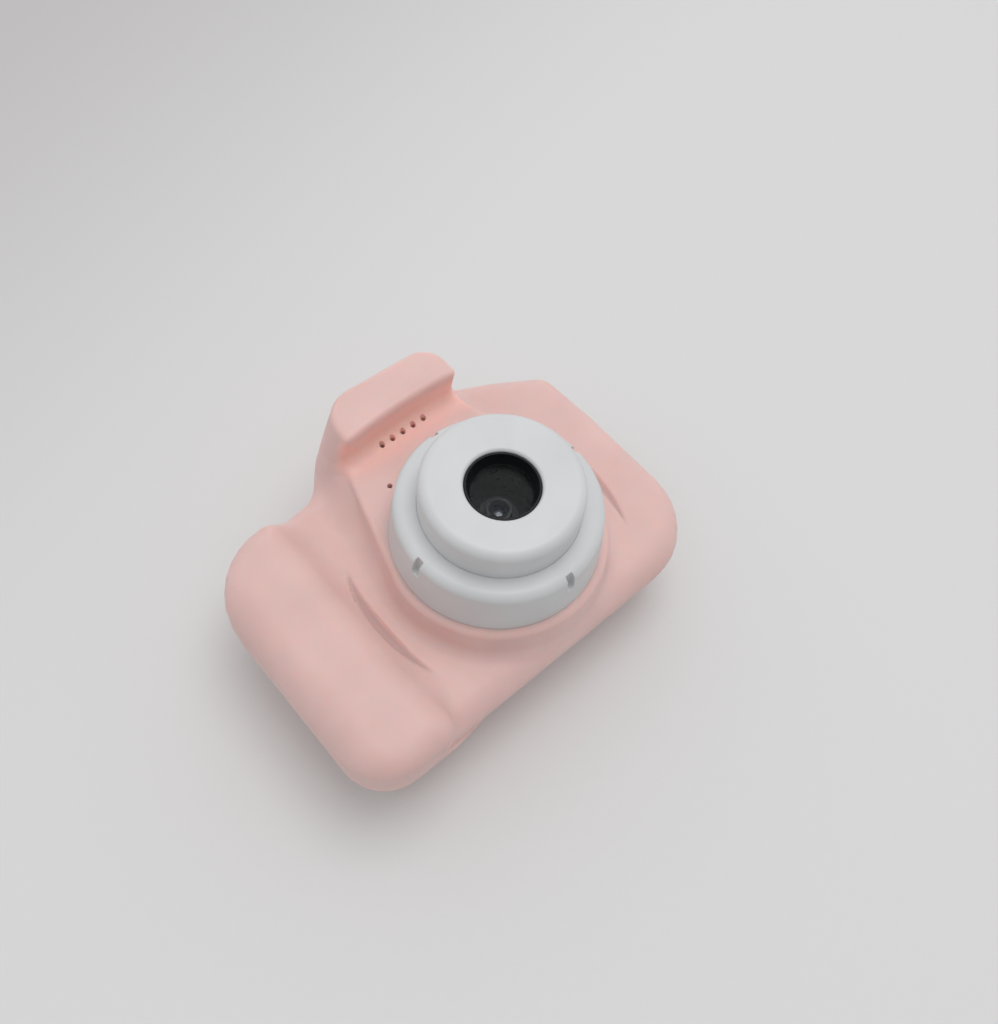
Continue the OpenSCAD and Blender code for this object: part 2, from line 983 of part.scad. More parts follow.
module lens_window() {
  color("lightcyan", 0.4)
    disc(0, 0, window_d / 2, window_z - window_t, window_t);
}

module lens_holder() {
  room = sensor_w + 2 * holder_cap_t;
  color("black")
    difference() {
      union() {
        block(0, 0, holder_w, holder_w, module_top, holder_h);
        disc(0, 0, holder_cap_r, holder_z, holder_cap_t);
      }
      block(0, 0, room, room, module_top - over, holder_room + over);
      disc(0, 0, cell_r + screw_gap, module_top, holder_h + holder_cap_t + over);
    }
}

module lens_cell() {
  foot = holder_z + holder_cap_t - cell_sink;
  top = cell_z + cell_top_h;
  cup = top - cell_cup;
  color("dimgray")
    rotate_extrude()
      polygon([
        [cell_bore_r, foot],
        [cell_r, foot],
        [cell_r, cell_z],
        [cell_top_r, cell_z],
        [cell_top_r, top],
        [cell_eye_r + cell_cup, top],
        [cell_eye_r, cup],
        [cell_eye_r, cup - cell_cup],
        [cell_bore_r, cup - cell_cup]
      ]);
}

module lens_glass() {
  color("midnightblue")
    disc(0, 0, cell_bore_r - screw_gap, cell_z + cell_top_h - 2 * cell_cup - glass_t, glass_t);
}

module sensor_board() {
  hole_r = small_screw_d / 2 + screw_gap;
  color("green")
    difference() {
      block(0, 0, module_board_w, module_board_h, module_z, module_board_t);
      for (s = [-1, 1])
        disc(s * module_screw_x, 0, hole_r, module_z - over, module_board_t + 2 * over);
    }
}

module image_sensor() {
  color("black")
    block(0, 0, sensor_w, sensor_w, module_top, sensor_t);
}

module sensor_ribbon() {
  low = board_top + socket_h;
  in = -module_board_h / 2 + module_ribbon_in;
  color("goldenrod") {
    block(0, ribbon_y, ribbon_w, ribbon_t, low, ribbon_fold_z - low);
    translate([-ribbon_w / 2, ribbon_y - ribbon_t / 2, ribbon_fold_z - ribbon_t])
      cube([ribbon_w, ribbon_fold_y - ribbon_y + ribbon_t, ribbon_t]);
    block(
      0, ribbon_fold_y, ribbon_w, ribbon_t,
      ribbon_fold_z - ribbon_t, module_z - ribbon_fold_z + ribbon_t
    );
    translate([-ribbon_w / 2, ribbon_fold_y - ribbon_t / 2, module_z - ribbon_t])
      cube([ribbon_w, in - ribbon_fold_y, ribbon_t]);
  }
}

// Screw with its head at z = 0 and its shank upward
module screw(d, l, cap_d, cap_t) {
  difference() {
    union() {
      disc(0, 0, d / 2, -cap_t / 2, l + cap_t / 2);
      disc(0, 0, cap_d / 2, -cap_t, cap_t);
    }
    for (a = [0, 90])
      rotate(a)
        block(0, 0, cap_d * drive_share, cap_t * drive_share, -cap_t - over, cap_t * drive_share + over);
  }
}

module sensor_screws() {
  color("silver")
    for (s = [-1, 1])
      translate([s * module_screw_x, 0, module_z])
        screw(small_screw_d, small_screw_l, small_head_d, small_head_t);
}

module barrel_screws() {
  color("silver")
    for (a = barrel_screw_angles)
      rotate(a)
        translate([barrel_screw_r, 0, roof_z])
          screw(small_screw_d, barrel_screw_l, small_head_d, small_head_t);
}

module case_screws() {
  color("silver")
    for (p = posts)
      translate([p[0], p[1], head_seat_z])
        screw(screw_d, screw_l, head_d, head_t);
}

// Electronics

module main_board() {
  color("darkgreen")
    difference() {
      plate(rect(board_x, board_y, board_w, board_h, board_r), board_z, board_t);
      for (p = posts)
        disc(p[0], p[1], spigot_d / 2 + seat_gap, board_z - over, board_t + 2 * over);
    }
}

module board_chips() {
  color("darkslategray")
    for (c = chip_shares)
      translate([board_x + c[0] * board_w, board_y + c[1] * board_h, board_top])
        block(0, 0, c[2] * board_w, c[3] * board_h, 0, chip_t);
}

module ribbon_socket() {
  color("ivory")
    block(0, ribbon_y, socket_w, socket_d, board_top, socket_h);
}

module battery() {
  outline = rect(battery_x, battery_y, battery_l, battery_w, battery_r);
  color("lightsteelblue")
    plate(outline, board_top + battery_pad_t, battery_t);
}

module battery_pad() {
  inset = 2 * battery_pad_in;
  color("gray")
    block(battery_x, battery_y, battery_l - inset, battery_w - inset, board_top, battery_pad_t);
}

module speaker() {
  step = speaker_t / 4;
  color("dimgray")
    translate([0, sound_y, roof_z])
      rotate_extrude()
        polygon([
          [0, -speaker_t],
          [speaker_d / 4, -speaker_t],
          [speaker_d / 4, -3 * step],
          [speaker_d / 2 - step, -2 * step],
          [speaker_d / 2, -step],
          [speaker_d / 2, 0],
          [speaker_d / 2 - step, 0],
          [speaker_d / 4, -step],
          [0, -step / 2]
        ]);
}

module microphone() {
  color("silver")
    disc(mic_x, mic_y, mic_d / 2, roof_z - mic_t, mic_t);
}

module usb_socket() {
  inside = usb_h - 2 * usb_shell_t;
  color("silver")
    difference() {
      translate([usb_in, usb_y - usb_w / 2, board_top])
        cube([usb_l, usb_w, usb_h]);
      difference() {
        translate([usb_in + usb_l - usb_mouth, usb_y - usb_w / 2 + usb_shell_t, board_top + usb_shell_t])
          cube([usb_mouth + over, usb_w - 2 * usb_shell_t, inside]);
        translate([usb_in, usb_y - usb_tongue_w / 2, board_top + usb_h / 2])
          cube([usb_l - usb_shell_t, usb_tongue_w, usb_tongue_t]);
      }
    }
}

card_z = board_top + card_floor + card_gap;
card_out = right_reach - lean_at(card_z) + card_proud;
module card_socket() {
  w = card_w + 2 * (card_gap + card_socket_wall);
  color("silver")
    difference() {
      translate([card_socket_in, card_y - w / 2, board_top])
        cube([card_socket_l, w, card_t + 2 * (card_gap + card_floor)]);
      translate([card_out - card_l - card_gap, card_y - card_w / 2 - card_gap, card_z - card_gap])
        cube([card_l, card_w + 2 * card_gap, card_t + 2 * card_gap]);
    }
}

module memory_card() {
  color("dimgray") {
    translate([card_out - card_l, card_y - card_w / 2, card_z])
      cube([card_l, card_w, card_t]);
    translate([card_out - card_ridge_w, card_y - card_w / 2, card_z + card_t])
      cube([card_ridge_w, card_w, card_ridge_t]);
  }
}

// Screen

module screen_cover() {
  color("black", 0.8)
    plate(rect(screen_x, screen_y, cover_w, cover_h, cover_r), cover_recess, cover_t);
}

frame_w = cover_w - 2 * frame_in_w;
frame_h = cover_h - 2 * frame_in_h;
module display_frame() {
  in_w = frame_w - 2 * frame_rim;
  in_h = frame_h - 2 * frame_rim;
  color("gainsboro")
    difference() {
      block(screen_x, screen_y, frame_w, frame_h, display_z, display_t);
      block(screen_x, screen_y, in_w, in_h, display_z - over, panel_t + seat_gap + over);
    }
}

module display_panel() {
  rim = 2 * (frame_rim + seat_gap);
  color("darkslateblue")
    block(screen_x, screen_y, frame_w - rim, frame_h - rim, display_z + seat_gap, panel_t);
}

module display_pad() {
  color("gray")
    block(screen_x, screen_y, pad_w, pad_h, display_z + display_t, board_gap);
}

// The flat ribbon rises from the display frame to the back of the main board
module display_ribbon() {
  low = display_z + display_t;
  y = screen_y - frame_h / 2 + frame_rim;
  run = display_ribbon_run;
  color("goldenrod")
    translate([screen_x - display_ribbon_w / 2, 0, 0])
      rotate([90, 0, 90])
        linear_extrude(display_ribbon_w)
          polygon([
            [y, low],
            [y + run, low],
            [y + 2 * run, board_z - ribbon_t],
            [y + 3 * run, board_z - ribbon_t],
            [y + 3 * run, board_z],
            [y + 2 * run - ribbon_t, board_z],
            [y + run - ribbon_t, low + ribbon_t],
            [y, low + ribbon_t]
          ]);
}

// Keys of the back

flange_z = back_wall + flange_gap;
stem_z = flange_z + flange_t;
switch_z = board_z - switch_h;
module key_cap(k) {
  r = keys[k][2] / 2;
  color("white")
    at_key(k) {
      disc(0, 0, r, key_recess, flange_z - key_recess + root);
      disc(0, 0, r + flange_over, flange_z, flange_t);
      disc(0, 0, stem_r, stem_z - root, switch_z - plunger_out - stem_z + root);
    }
}

module key_plunger(k) {
  color("black")
    at_key(k)
      disc(0, 0, plunger_r, switch_z - plunger_out, plunger_out + plunger_in);
}

module key_switches() {
  color("silver")
    for (k = [0 : len(keys) - 1])
      at_key(k)
        difference() {
          block(0, 0, switch_w, switch_w, switch_z, switch_h);
          disc(0, 0, plunger_r + plunger_gap, switch_z - over, over + plunger_in + key_travel + flange_gap);
        }
}

// Top buttons, each in its own place with +Y out of the wall

flange_y = -tube_in - flange_gap;
contact_y = flange_y - flange_t;
top_switch_y = contact_y - top_plunger_out;
top_board_y = top_switch_y - top_switch_h;
module top_cap(d) {
  r = d / 2;
  rotate([-90, 0, 0])
    rotate_extrude()
      polygon(concat(
        [
          [0, contact_y],
          [r + rib_t, contact_y],
          [r + rib_t, flange_y],
          [r, flange_y]
        ],
        arc([r - cap_edge_r, cap_rise - cap_edge_r], cap_edge_r, 0, 90),
        [[0, cap_rise]]
      ));
}

module top_plunger() {
  rod(2 * top_plunger_r, top_switch_y - top_plunger_in, contact_y);
}

module top_switch(travel) {
  half = top_switch_w / 2;
  sink = top_plunger_in + travel + flange_gap;
  difference() {
    translate([-half, top_board_y, -half])
      cube([top_switch_w, top_switch_h, top_switch_w]);
    rod(2 * (top_plunger_r + plunger_gap), top_switch_y - sink, top_switch_y + over);
  }
}

// Small board that stands on the main board behind its switch
module top_board() {
  translate([-top_board_w / 2, top_board_y - board_t, board_top - top_key_z])
    cube([top_board_w, board_t, top_key_z + top_board_rise - board_top]);
}

module shutter_button() {
  color("white")
    at_shutter()
      top_cap(shutter_d);
}

module shutter_plunger() {
  color("black")
    at_shutter()
      top_plunger();
}

module shutter_switch() {
  color("silver")
    at_shutter()
      top_switch(shutter_travel);
}

module shutter_board() {
  color("darkgreen")
    at_shutter()
      top_board();
}

module power_button() {
  color("white")
    at_power()
      top_cap(power_d);
}

module power_plunger() {
  color("black")
    at_power()
      top_plunger();
}

module power_switch() {
  color("silver")
    at_power()
      top_switch(power_travel);
}

module power_board() {
  color("darkgreen")
    at_power()
      top_board();
}

module placed() {
  translate([lens_x, lens_y, 0])
    children();
}

placed() front_shell();
placed() rear_shell();
placed() lens_barrel();
placed() front_ring();
placed() lens_bezel();
placed() lens_window();
placed() lens_holder();
placed() lens_cell();
placed() lens_glass();
placed() sensor_board();
placed() image_sensor();
placed() sensor_ribbon();
placed() sensor_screws();
placed() barrel_screws();
placed() case_screws();
placed() main_board();
placed() board_chips();
placed() ribbon_socket();
placed() battery();
placed() battery_pad();
placed() speaker();
placed() microphone();
placed() usb_socket();
placed() card_socket();
placed() memory_card();
placed() screen_cover();
placed() display_panel();
placed() display_frame();
placed() display_pad();
placed() display_ribbon();
placed() key_switches();
placed() key_cap(0);  // key_ok
placed() key_cap(1);  // key_up
placed() key_cap(2);  // key_down
placed() key_cap(3);  // key_left
placed() key_cap(4);  // key_right
placed() key_cap(5);  // key_menu
placed() key_cap(6);  // key_play
placed() key_plunger(0);  // ok_plunger
placed() key_plunger(1);  // up_plunger
placed() key_plunger(2);  // down_plunger
placed() key_plunger(3);  // left_plunger
placed() key_plunger(4);  // right_plunger
placed() key_plunger(5);  // menu_plunger
placed() key_plunger(6);  // play_plunger
placed() shutter_button();
placed() shutter_plunger();
placed() shutter_switch();
placed() shutter_board();
placed() power_button();
placed() power_plunger();
placed() power_switch();
placed() power_board();
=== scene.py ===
import math

import bmesh
import bpy
import numpy as np
from mathutils import Matrix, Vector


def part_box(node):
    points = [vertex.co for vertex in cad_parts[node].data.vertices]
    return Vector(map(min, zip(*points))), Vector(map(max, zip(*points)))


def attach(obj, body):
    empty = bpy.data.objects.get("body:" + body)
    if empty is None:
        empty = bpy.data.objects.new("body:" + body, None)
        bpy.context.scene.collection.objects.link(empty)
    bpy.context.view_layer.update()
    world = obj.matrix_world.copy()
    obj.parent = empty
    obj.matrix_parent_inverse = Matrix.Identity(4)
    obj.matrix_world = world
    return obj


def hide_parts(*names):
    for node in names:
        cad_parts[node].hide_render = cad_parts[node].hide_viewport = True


# Toy camera lying on its back. Shapes are worked out in millimetres about the lens axis, with the
# back of the camera at z = 0, and are set into the frame, in metres, when their meshes are made.
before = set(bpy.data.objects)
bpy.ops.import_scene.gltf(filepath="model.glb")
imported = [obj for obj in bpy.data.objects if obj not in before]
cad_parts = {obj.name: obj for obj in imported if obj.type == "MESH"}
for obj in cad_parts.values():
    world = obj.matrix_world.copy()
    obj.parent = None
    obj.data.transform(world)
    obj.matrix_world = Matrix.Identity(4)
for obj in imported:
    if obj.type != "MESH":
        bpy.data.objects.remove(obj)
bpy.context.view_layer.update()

MM = 0.001
ring_low, ring_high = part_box("front_ring")
LENS = np.array([ring_low.x + ring_high.x, ring_low.y + ring_high.y, 0]) / 2


def span(node):
    """Lowest and highest corners of a CAD node, in millimetres about the lens axis."""
    return tuple((np.array(corner) - LENS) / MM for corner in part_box(node))


# Body seen from the front; each corner of an outline has x, y and a radius
RIGHT_REACH = 35.9
GRIP_REACH = 45.3
BOTTOM_REACH = 22.2
TOP_REACH = 37
BODY_LEFT = 33
BODY_LOW = 22.65
BODY_LEAN = 0.3
BODY_FOOT_R = 14.5
BODY_REAR_R = 11
FOOT_CORNER_R = 12
SHOULDER = (34.6, 23.3, 4.2)
SHOULDER_BOW = (25, 29.05, 12)
HUMP_FOOT = (16, 33.4, 3)
SADDLE_Y = 28
SADDLE_R = 3
INNER_FOOT_R = 5
SIDE_BOW_Y = 10
SIDE_BOW_R = 20
BODY_CORNERS = [
    (-BODY_LEFT, -BODY_LOW, INNER_FOOT_R),
    (RIGHT_REACH, -BODY_LOW, BODY_FOOT_R),
    (RIGHT_REACH - BODY_LEAN, SIDE_BOW_Y, SIDE_BOW_R),
    SHOULDER,
    SHOULDER_BOW,
    HUMP_FOOT,
    (-BODY_LEFT, SADDLE_Y, SADDLE_R),
]

# Toward the back the lower corner is tighter, and the crease beside the grip closes
REAR_CORNERS = [(x, y, BODY_REAR_R if r == BODY_FOOT_R else r) for x, y, r in BODY_CORNERS]
REAR_Z = [7, 15]
REAR_SHARP = 0.03

# Levels and walls of the body
BODY_DEPTH = 21.5
SPLIT_Z = 9
WAIST_Z = 15
BACK_LEAN = math.radians(21)
WAIST_SOFT = 1.6
FRONT_R = 4.8
BACK_R = 2.5
WALL = 1.8
BACK_WALL = 2
SEAM_GAP = 0.08

# Grip, which runs on into the slab below the waist
GRIP_W = 17.8
GRIP_Z = 27
GRIP_TOP = 28.3
GRIP_DROP = 1.4
GRIP_R = [4, 6.2]
GRIP_END_Y = [-24, -12]
GRIP_FOOT_R = 9
GRIP_HEAD_R = 14
CREASE_CORNER_R = 3.5
GRIP_WIDE_X = -8
OVER_WIDE = 0.4
CREASE_FOOT_R = 4.5
CREASE_LEAN = 0.6
CREASE_END_Y = [-22, -17]
CREASE_ENDS_R = [0.8, 3.2]
GRIP_CORNERS = [
    (-GRIP_REACH, -BOTTOM_REACH - GRIP_DROP, GRIP_FOOT_R),
    (GRIP_W + CREASE_LEAN - GRIP_REACH, -BOTTOM_REACH - GRIP_DROP, CREASE_FOOT_R),
    (GRIP_W - GRIP_REACH, GRIP_TOP, CREASE_CORNER_R),
    (-GRIP_REACH, GRIP_TOP, GRIP_HEAD_R),
]
WIDE_CORNERS = [
    GRIP_CORNERS[0],
    (GRIP_W - GRIP_REACH, -BOTTOM_REACH - GRIP_DROP, CREASE_FOOT_R),
    (GRIP_WIDE_X, OVER_WIDE - BODY_LOW, 0),
    (GRIP_WIDE_X, SADDLE_Y - OVER_WIDE, 0),
    (GRIP_W - GRIP_REACH, GRIP_TOP, CREASE_CORNER_R),
    GRIP_CORNERS[-1],
]

# Platform round the lens, with straight flanks up to the hump
PLAT_Z = 27.5
PLAT_R = 20.4
PLAT_SLOPE = 0.2
PLAT_FLANK = math.radians(6)
PLAT_FLANK_W = 12.2
PLAT_EDGE_R = 0.8
PLAT_FOOT_Y = [5, 27]
PLAT_FOOT_R = [1.8, 4.5]
PLAT_ROOT = 2

# Hump: height of each level, its half widths to the left and right, and y of its crown
HUMP_Z = 34.8
HUMP_X = 0.6
HUMP_CROWN_R = [7, 4.6]
HUMP_CROWN_TILT = 0.048
BROW_Y = 27.7
BROW_R = 1
BROW_FOOT_R = 3.5
BROW_BOW = 0.75
BROW_COVE_R = 2.4
SKIRT_RUN = 1.5
HUMP_LEDGE = 1.2
HUMP_LEVELS_Z = [3, 19.5, 29, 34.8]
HUMP_LEFT_W = [15.5, 17.5, 14.3, 12.4]
HUMP_RIGHT_W = [14, 13.7, 13.1, 12.7]
HUMP_CROWN_Y = [26.5, 36, 36.2, 36]
HUMP_SOFT = 2
HUMP_BLEND_Z = [10, 20]
HUMP_BACK_R = 1.2
HUMP_BLEND_X = [-8, 8]
HUMP_BLEND_R = [5, 1.8]

# Details of the shells
CRESCENT_R = 26
CRESCENT_W = 2.4
CRESCENT_HALF = math.radians(33)
CRESCENT_LEFT = 1.2
CRESCENT_DEPTH = 0.5
CRESCENT_SOFT = 0.8
SOUND_Y = 26.4
SOUND_D = 0.9
SOUND_PITCH = 2.42
SOUND_COUNT = 5
MIC = (-9, 18.8)
STRAP_D = 2.6
STRAP_DEPTH = 3.6
STRAP_Z = 16
STRAP_WALL = 1
EYE_HOLE_R = 8
BORE_FACING = 0.9
FLARE = 0.12
HOLE_OUT = 2
PORT_GAPS = {"usb_socket": 0.3, "memory_card": 0.2}
PORT_IN = 1
SLIDE_GAP = 0.25
SEAT_GAP = 0.15
SCREW_GAP = 0.05
RIB_T = 1.2
RIB_H = 3
ROOT = 0.6
OVER = 0.5

# Posts and bosses inside the shells
POSTS = [(26.3, -12.4), (26.3, 15.5), (-22.5, -12.4), (-22.5, 18)]
POST_R = 2.75
SPIGOT_R = 1.9
SCREW_R = 1
SMALL_SCREW_R = 0.8
SCREW_END_Z = 16
HEAD_R = 1.8
HEAD_SEAT_Z = 3
BOARD_Z = 6
BOARD_TOP = 7.2
MODULE_Z = 24
MODULE_SCREW_X = 10.5
MODULE_BOSS_R = 2.2
SPEAKER_R = 7.5
MIC_R = 2.25
BARREL_SCREW_R = 16.4
BARREL_SCREW_TURNS = [math.radians(60), math.radians(180), math.radians(300)]

# Screen, keys and top buttons
SCREEN_R = 2
SCREEN_LEDGE = 1.5
SCREEN_EDGE = 0.2
ACTIVE_IN = 3
FLANGE_OVER = 0.45
FLANGE_Z = 2.2
FLANGE_T = 0.8
STEM_R = 1
KEY_DISH = 0.12
KEY_EDGE_R = 0.4
MARK_DEPTH = 0.15
FINE_R = 0.1
TOP_KEY_Z = 14
TUBE_IN = 4.8
CAP_RISE = 1.2
CAP_EDGE_R = 0.6
CAP_DISH = 0.35
CAP_DISH_SHARES = (0.72, 0.3)
CAP_DISH_R = 0.5
CAP_FLANGE_IN = 5
HUMP_CAD = (16, 33.4)
SHOULDER_CAD = (34.5, 23.2)
POWER_X = 22
BUTTONS = {"shutter": 4.5, "power": 3}
PAD_CORNER_R = {"display_pad": 1, "battery_pad": 1.5}

# Marks, as shares of the radius of a key or button
ARROW_HALF = 0.42
ARROW_BACK = 0.25
ARROW_R = 0.15
PLAY_GROWTH = 1.25
SPOT_W = 0.6
SPOT_R = 0.29
BAR_PITCH = 0.36
BAR_H = 0.17
BAR_R = 0.08
POWER_ARC = (130, 410)
POWER_ARC_POINTS = 33
POWER_OUTER_R = 0.48
POWER_INNER_R = 0.36
POWER_BAR = (0.13, 0.4, 0.06)

# Lens
BARREL_NECK_R = 18.15
BARREL_BORE_R = 14.2
BARREL_FLOOR = 2
BARREL_EDGE_R = 1.8
BARREL_FOOT_R = 0.2
NOTCH_W = 1.5
NOTCH_H = 4.4
NOTCH_R = 17.2
NOTCH_FLARE = 0.4
NOTCH_COUNT = 4
NOTCH_INNER_R = 0.15
NOTCH_ROUND = 0.98
RING_WALL = 1.8
RING_FACE_T = 1.5
RING_DISH = 1.2
RING_EDGE_R = 1.8
EYE_R = 6.6
EYE_EDGE_R = 0.7
BEZEL_MOUTH_R = 5.3
BEZEL_LIP = 0.35
BEZEL_GAP = 0.1
BEZEL_WALL = 1
BEZEL_FLANGE_T = 1.2
BEZEL_EDGE_R = 0.2
LIP_OUT = 2 * BEZEL_EDGE_R
LIP_UP = 1.5 * BEZEL_EDGE_R
WINDOW_EDGE_R = 0.15
CELL_TOP_R = 2.4
CELL_TOP_H = 1.7
CELL_EYE_R = 1.2
CELL_BORE_R = 1.5
CELL_CUP = 0.6
CELL_SHELF_R = 0.2
CELL_RIM_R = 0.15
CELL_EYE_EDGE_R = 0.05
GLASS_SAG = 0.35
GLASS_POINTS = 9

# Mesh fineness
SKIN_STEP = 0.4
HOLLOW_STEP = 0.9
SKIN_ROOM = 3
SETTLE_ROUNDS = 2
PROBE_PARTS = 20
LEAST_SLOPE = 0.1
SOFT_TAPS = 5
ARC_STEPS = 8
EDGE_STEPS = 3
HOLE_STEPS = 40
DISC_STEPS = 48
KEY_STEPS = 64
CAP_STEPS = 96
TURN_STEPS = 128
SHARP_DEGREES = 35
SHORT_EDGE = 1e-6
MERGE_M = 1e-7
SLIVER_M = 1e-8
PAINT_REACH = 0.01
TOOL_CORNER_R = 1

UNMOVED = Matrix.Identity(4)
# Local x, y and z along y, z and x
STAND = Matrix(((0, 0, 1, 0), (1, 0, 0, 0), (0, 1, 0, 0), (0, 0, 0, 1)))


# Outlines and meshes


def unit(v):
    return v / np.linalg.norm(v)


def rounded(corners):
    """Points of a closed outline with each corner, given as x, y and radius, turned into an arc."""
    points = []
    for k, (x, y, r) in enumerate(corners):
        p = np.array([x, y], float)
        if r == 0:
            points.append(p)
            continue
        u = unit(np.array(corners[k - 1][:2]) - p)
        v = unit(np.array(corners[(k + 1) % len(corners)][:2]) - p)
        half = math.acos(u @ v) / 2
        centre = p + unit(u + v) * r / math.sin(half)
        start = p + u * r / math.tan(half) - centre
        end = p + v * r / math.tan(half) - centre
        begin = math.atan2(start[1], start[0])
        turn = (math.atan2(end[1], end[0]) - begin + math.pi) % math.tau - math.pi
        for a in begin + turn * np.linspace(0, 1, ARC_STEPS + 1):
            points.append(centre + r * np.array([math.cos(a), math.sin(a)]))
    return np.array(points)


def rectangle(x, y, w, h, r):
    return rounded([
        (x - w / 2, y - h / 2, r),
        (x + w / 2, y - h / 2, r),
        (x + w / 2, y + h / 2, r),
        (x - w / 2, y + h / 2, r),
    ])


def set_in(place):
    """Matrix from millimetres about the lens axis, moved by place, to the frame."""
    return Matrix.Translation(LENS) @ Matrix.Scale(MM, 4) @ place


def linked(name, data):
    obj = bpy.data.objects.new(name, data)
    bpy.context.scene.collection.objects.link(obj)
    return obj


def mesh_object(name, points, faces, place=UNMOVED, edge=0):
    """Object from points in millimetres, with its level edges rounded where a radius is given."""
    mesh = bpy.data.meshes.new(name)
    mesh.from_pydata(np.asarray(points, float).tolist(), [], faces)
    if edge:
        bm = bmesh.new()
        bm.from_mesh(mesh)
        rims = [e for e in bm.edges if abs(e.verts[0].co.z - e.verts[1].co.z) < edge / 2]
        bmesh.ops.bevel(
            bm, geom=rims, offset=edge, segments=EDGE_STEPS, profile=0.5, affect="EDGES"
        )
        bm.to_mesh(mesh)
        bm.free()
    mesh.transform(set_in(place))
    return linked(name, mesh)


def clean(obj):
    """Merges points that coincide and turns all faces outward."""
    bm = bmesh.new()
    bm.from_mesh(obj.data)
    bmesh.ops.remove_doubles(bm, verts=bm.verts, dist=MERGE_M)
    bmesh.ops.dissolve_degenerate(bm, edges=bm.edges, dist=SLIVER_M)
    bmesh.ops.recalc_face_normals(bm, faces=bm.faces)
    bm.to_mesh(obj.data)
    bm.free()
    return obj


def lathe(name, corners, steps=TURN_STEPS, place=UNMOVED):
    """Turned piece about z from the corners of its section: radius, z and corner radius."""
    section = rounded(corners)
    n = len(section)
    angles = np.arange(steps) * math.tau / steps
    points = [(r * math.cos(a), r * math.sin(a), z) for a in angles for r, z in section]
    faces = []
    for s in range(steps):
        here, there = s * n, (s + 1) % steps * n
        for k in range(n):
            after = (k + 1) % n
            faces.append((here + k, there + k, there + after, here + after))
    return clean(mesh_object(name, points, faces, place))


def prism(name, outline, low, high, edge=0, place=UNMOVED):
    """Plate over an outline, with its top and bottom edges rounded by a small radius."""
    return loft(name, [(outline, low), (outline, high)], place, edge)


def loft(name, sections, place=UNMOVED, edge=0):
    """Solid through outlines with the same number of points, each given with its height."""
    n = len(sections[0][0])
    points = [(x, y, z) for outline, z in sections for x, y in outline]
    faces = [list(range(n))[::-1], list(range(len(points) - n, len(points)))]
    for s in range(0, len(points) - n, n):
        faces += [[s + k, s + (k + 1) % n, s + n + (k + 1) % n, s + n + k] for k in range(n)]
    return clean(mesh_object(name, points, faces, place, edge))


def disc(x, y, r, low, high, steps=DISC_STEPS):
    """Plain round tool for a cut or a boss."""
    turns = np.arange(steps) * math.tau / steps
    outline = [(x + r * math.cos(a), y + r * math.sin(a)) for a in turns]
    return prism("tool", outline, low, high)


def combine(obj, tools, operation):
    """Joins tools that lie apart into one and cuts it from the piece or adds it."""
    tool = tools[0]
    if len(tools) > 1:
        with bpy.context.temp_override(active_object=tool, selected_editable_objects=tools):
            bpy.ops.object.join()
    modifier = obj.modifiers.new("combine", "BOOLEAN")
    modifier.operation = operation
    modifier.solver = "MANIFOLD"
    modifier.object = tool
    with bpy.context.temp_override(object=obj):
        bpy.ops.object.modifier_apply(modifier="combine")
    bpy.data.objects.remove(tool)
    return obj


def paint(obj, made, z, place=UNMOVED):
    """Gives the faces at one height of a placed piece a second material."""
    obj.data.materials.append(made)
    back = set_in(place).inverted()
    for face in obj.data.polygons:
        if abs((back @ face.center).z - z) < PAINT_REACH:
            face.material_index = 1


# Fields: negative inside a form, and about the distance to its surface in millimetres


def outline_distance(outline, x, y):
    """Signed distance to a convex outline that runs counter-clockwise."""
    nearest = np.full(np.broadcast(x, y).shape, np.inf)
    outside = np.full(nearest.shape, -np.inf)
    for p, q in zip(outline, np.roll(outline, -1, axis=0)):
        edge = q - p
        length = np.linalg.norm(edge)
        if length < SHORT_EDGE:
            continue
        u, v = x - p[0], y - p[1]
        along = np.clip((u * edge[0] + v * edge[1]) / length**2, 0, 1)
        nearest = np.minimum(nearest, np.hypot(u - along * edge[0], v - along * edge[1]))
        outside = np.maximum(outside, (u * edge[1] - v * edge[0]) / length)
    return np.where(outside > 0, nearest, -nearest)


def round_max(a, b, r):
    """What two forms share, with a round edge."""
    return np.minimum(np.maximum(a, b), -r) + np.hypot(np.maximum(a + r, 0), np.maximum(b + r, 0))


def round_min(a, b, r):
    """Two forms joined with a round fillet."""
    return -round_max(-a, -b, r)


def soft_max(a, b, reach):
    """What two forms share, with a soft turn."""
    near = np.maximum(reach - np.abs(a - b), 0) / reach
    return np.maximum(a, b) + near * near * reach / 4


def soft_interp(at, places, values, reach):
    """Straight runs between values with soft turns at the places."""
    taps = np.linspace(-reach, reach, SOFT_TAPS)
    return sum(np.interp(at + tap, places, values) for tap in taps) / SOFT_TAPS


def block_form(d, z, top, edge_r):
    """Form over an outline, with walls that lean in from the waist to the back."""
    # The soft turn takes a little off at the waist, so the outline starts a bit further out
    d = d - WAIST_SOFT / 8
    lean = d * math.cos(BACK_LEAN) + (WAIST_Z - z) * math.sin(BACK_LEAN)
    side = soft_max(d, lean, WAIST_SOFT)
    return round_max(round_max(side, z - top, edge_r), -z, BACK_R)


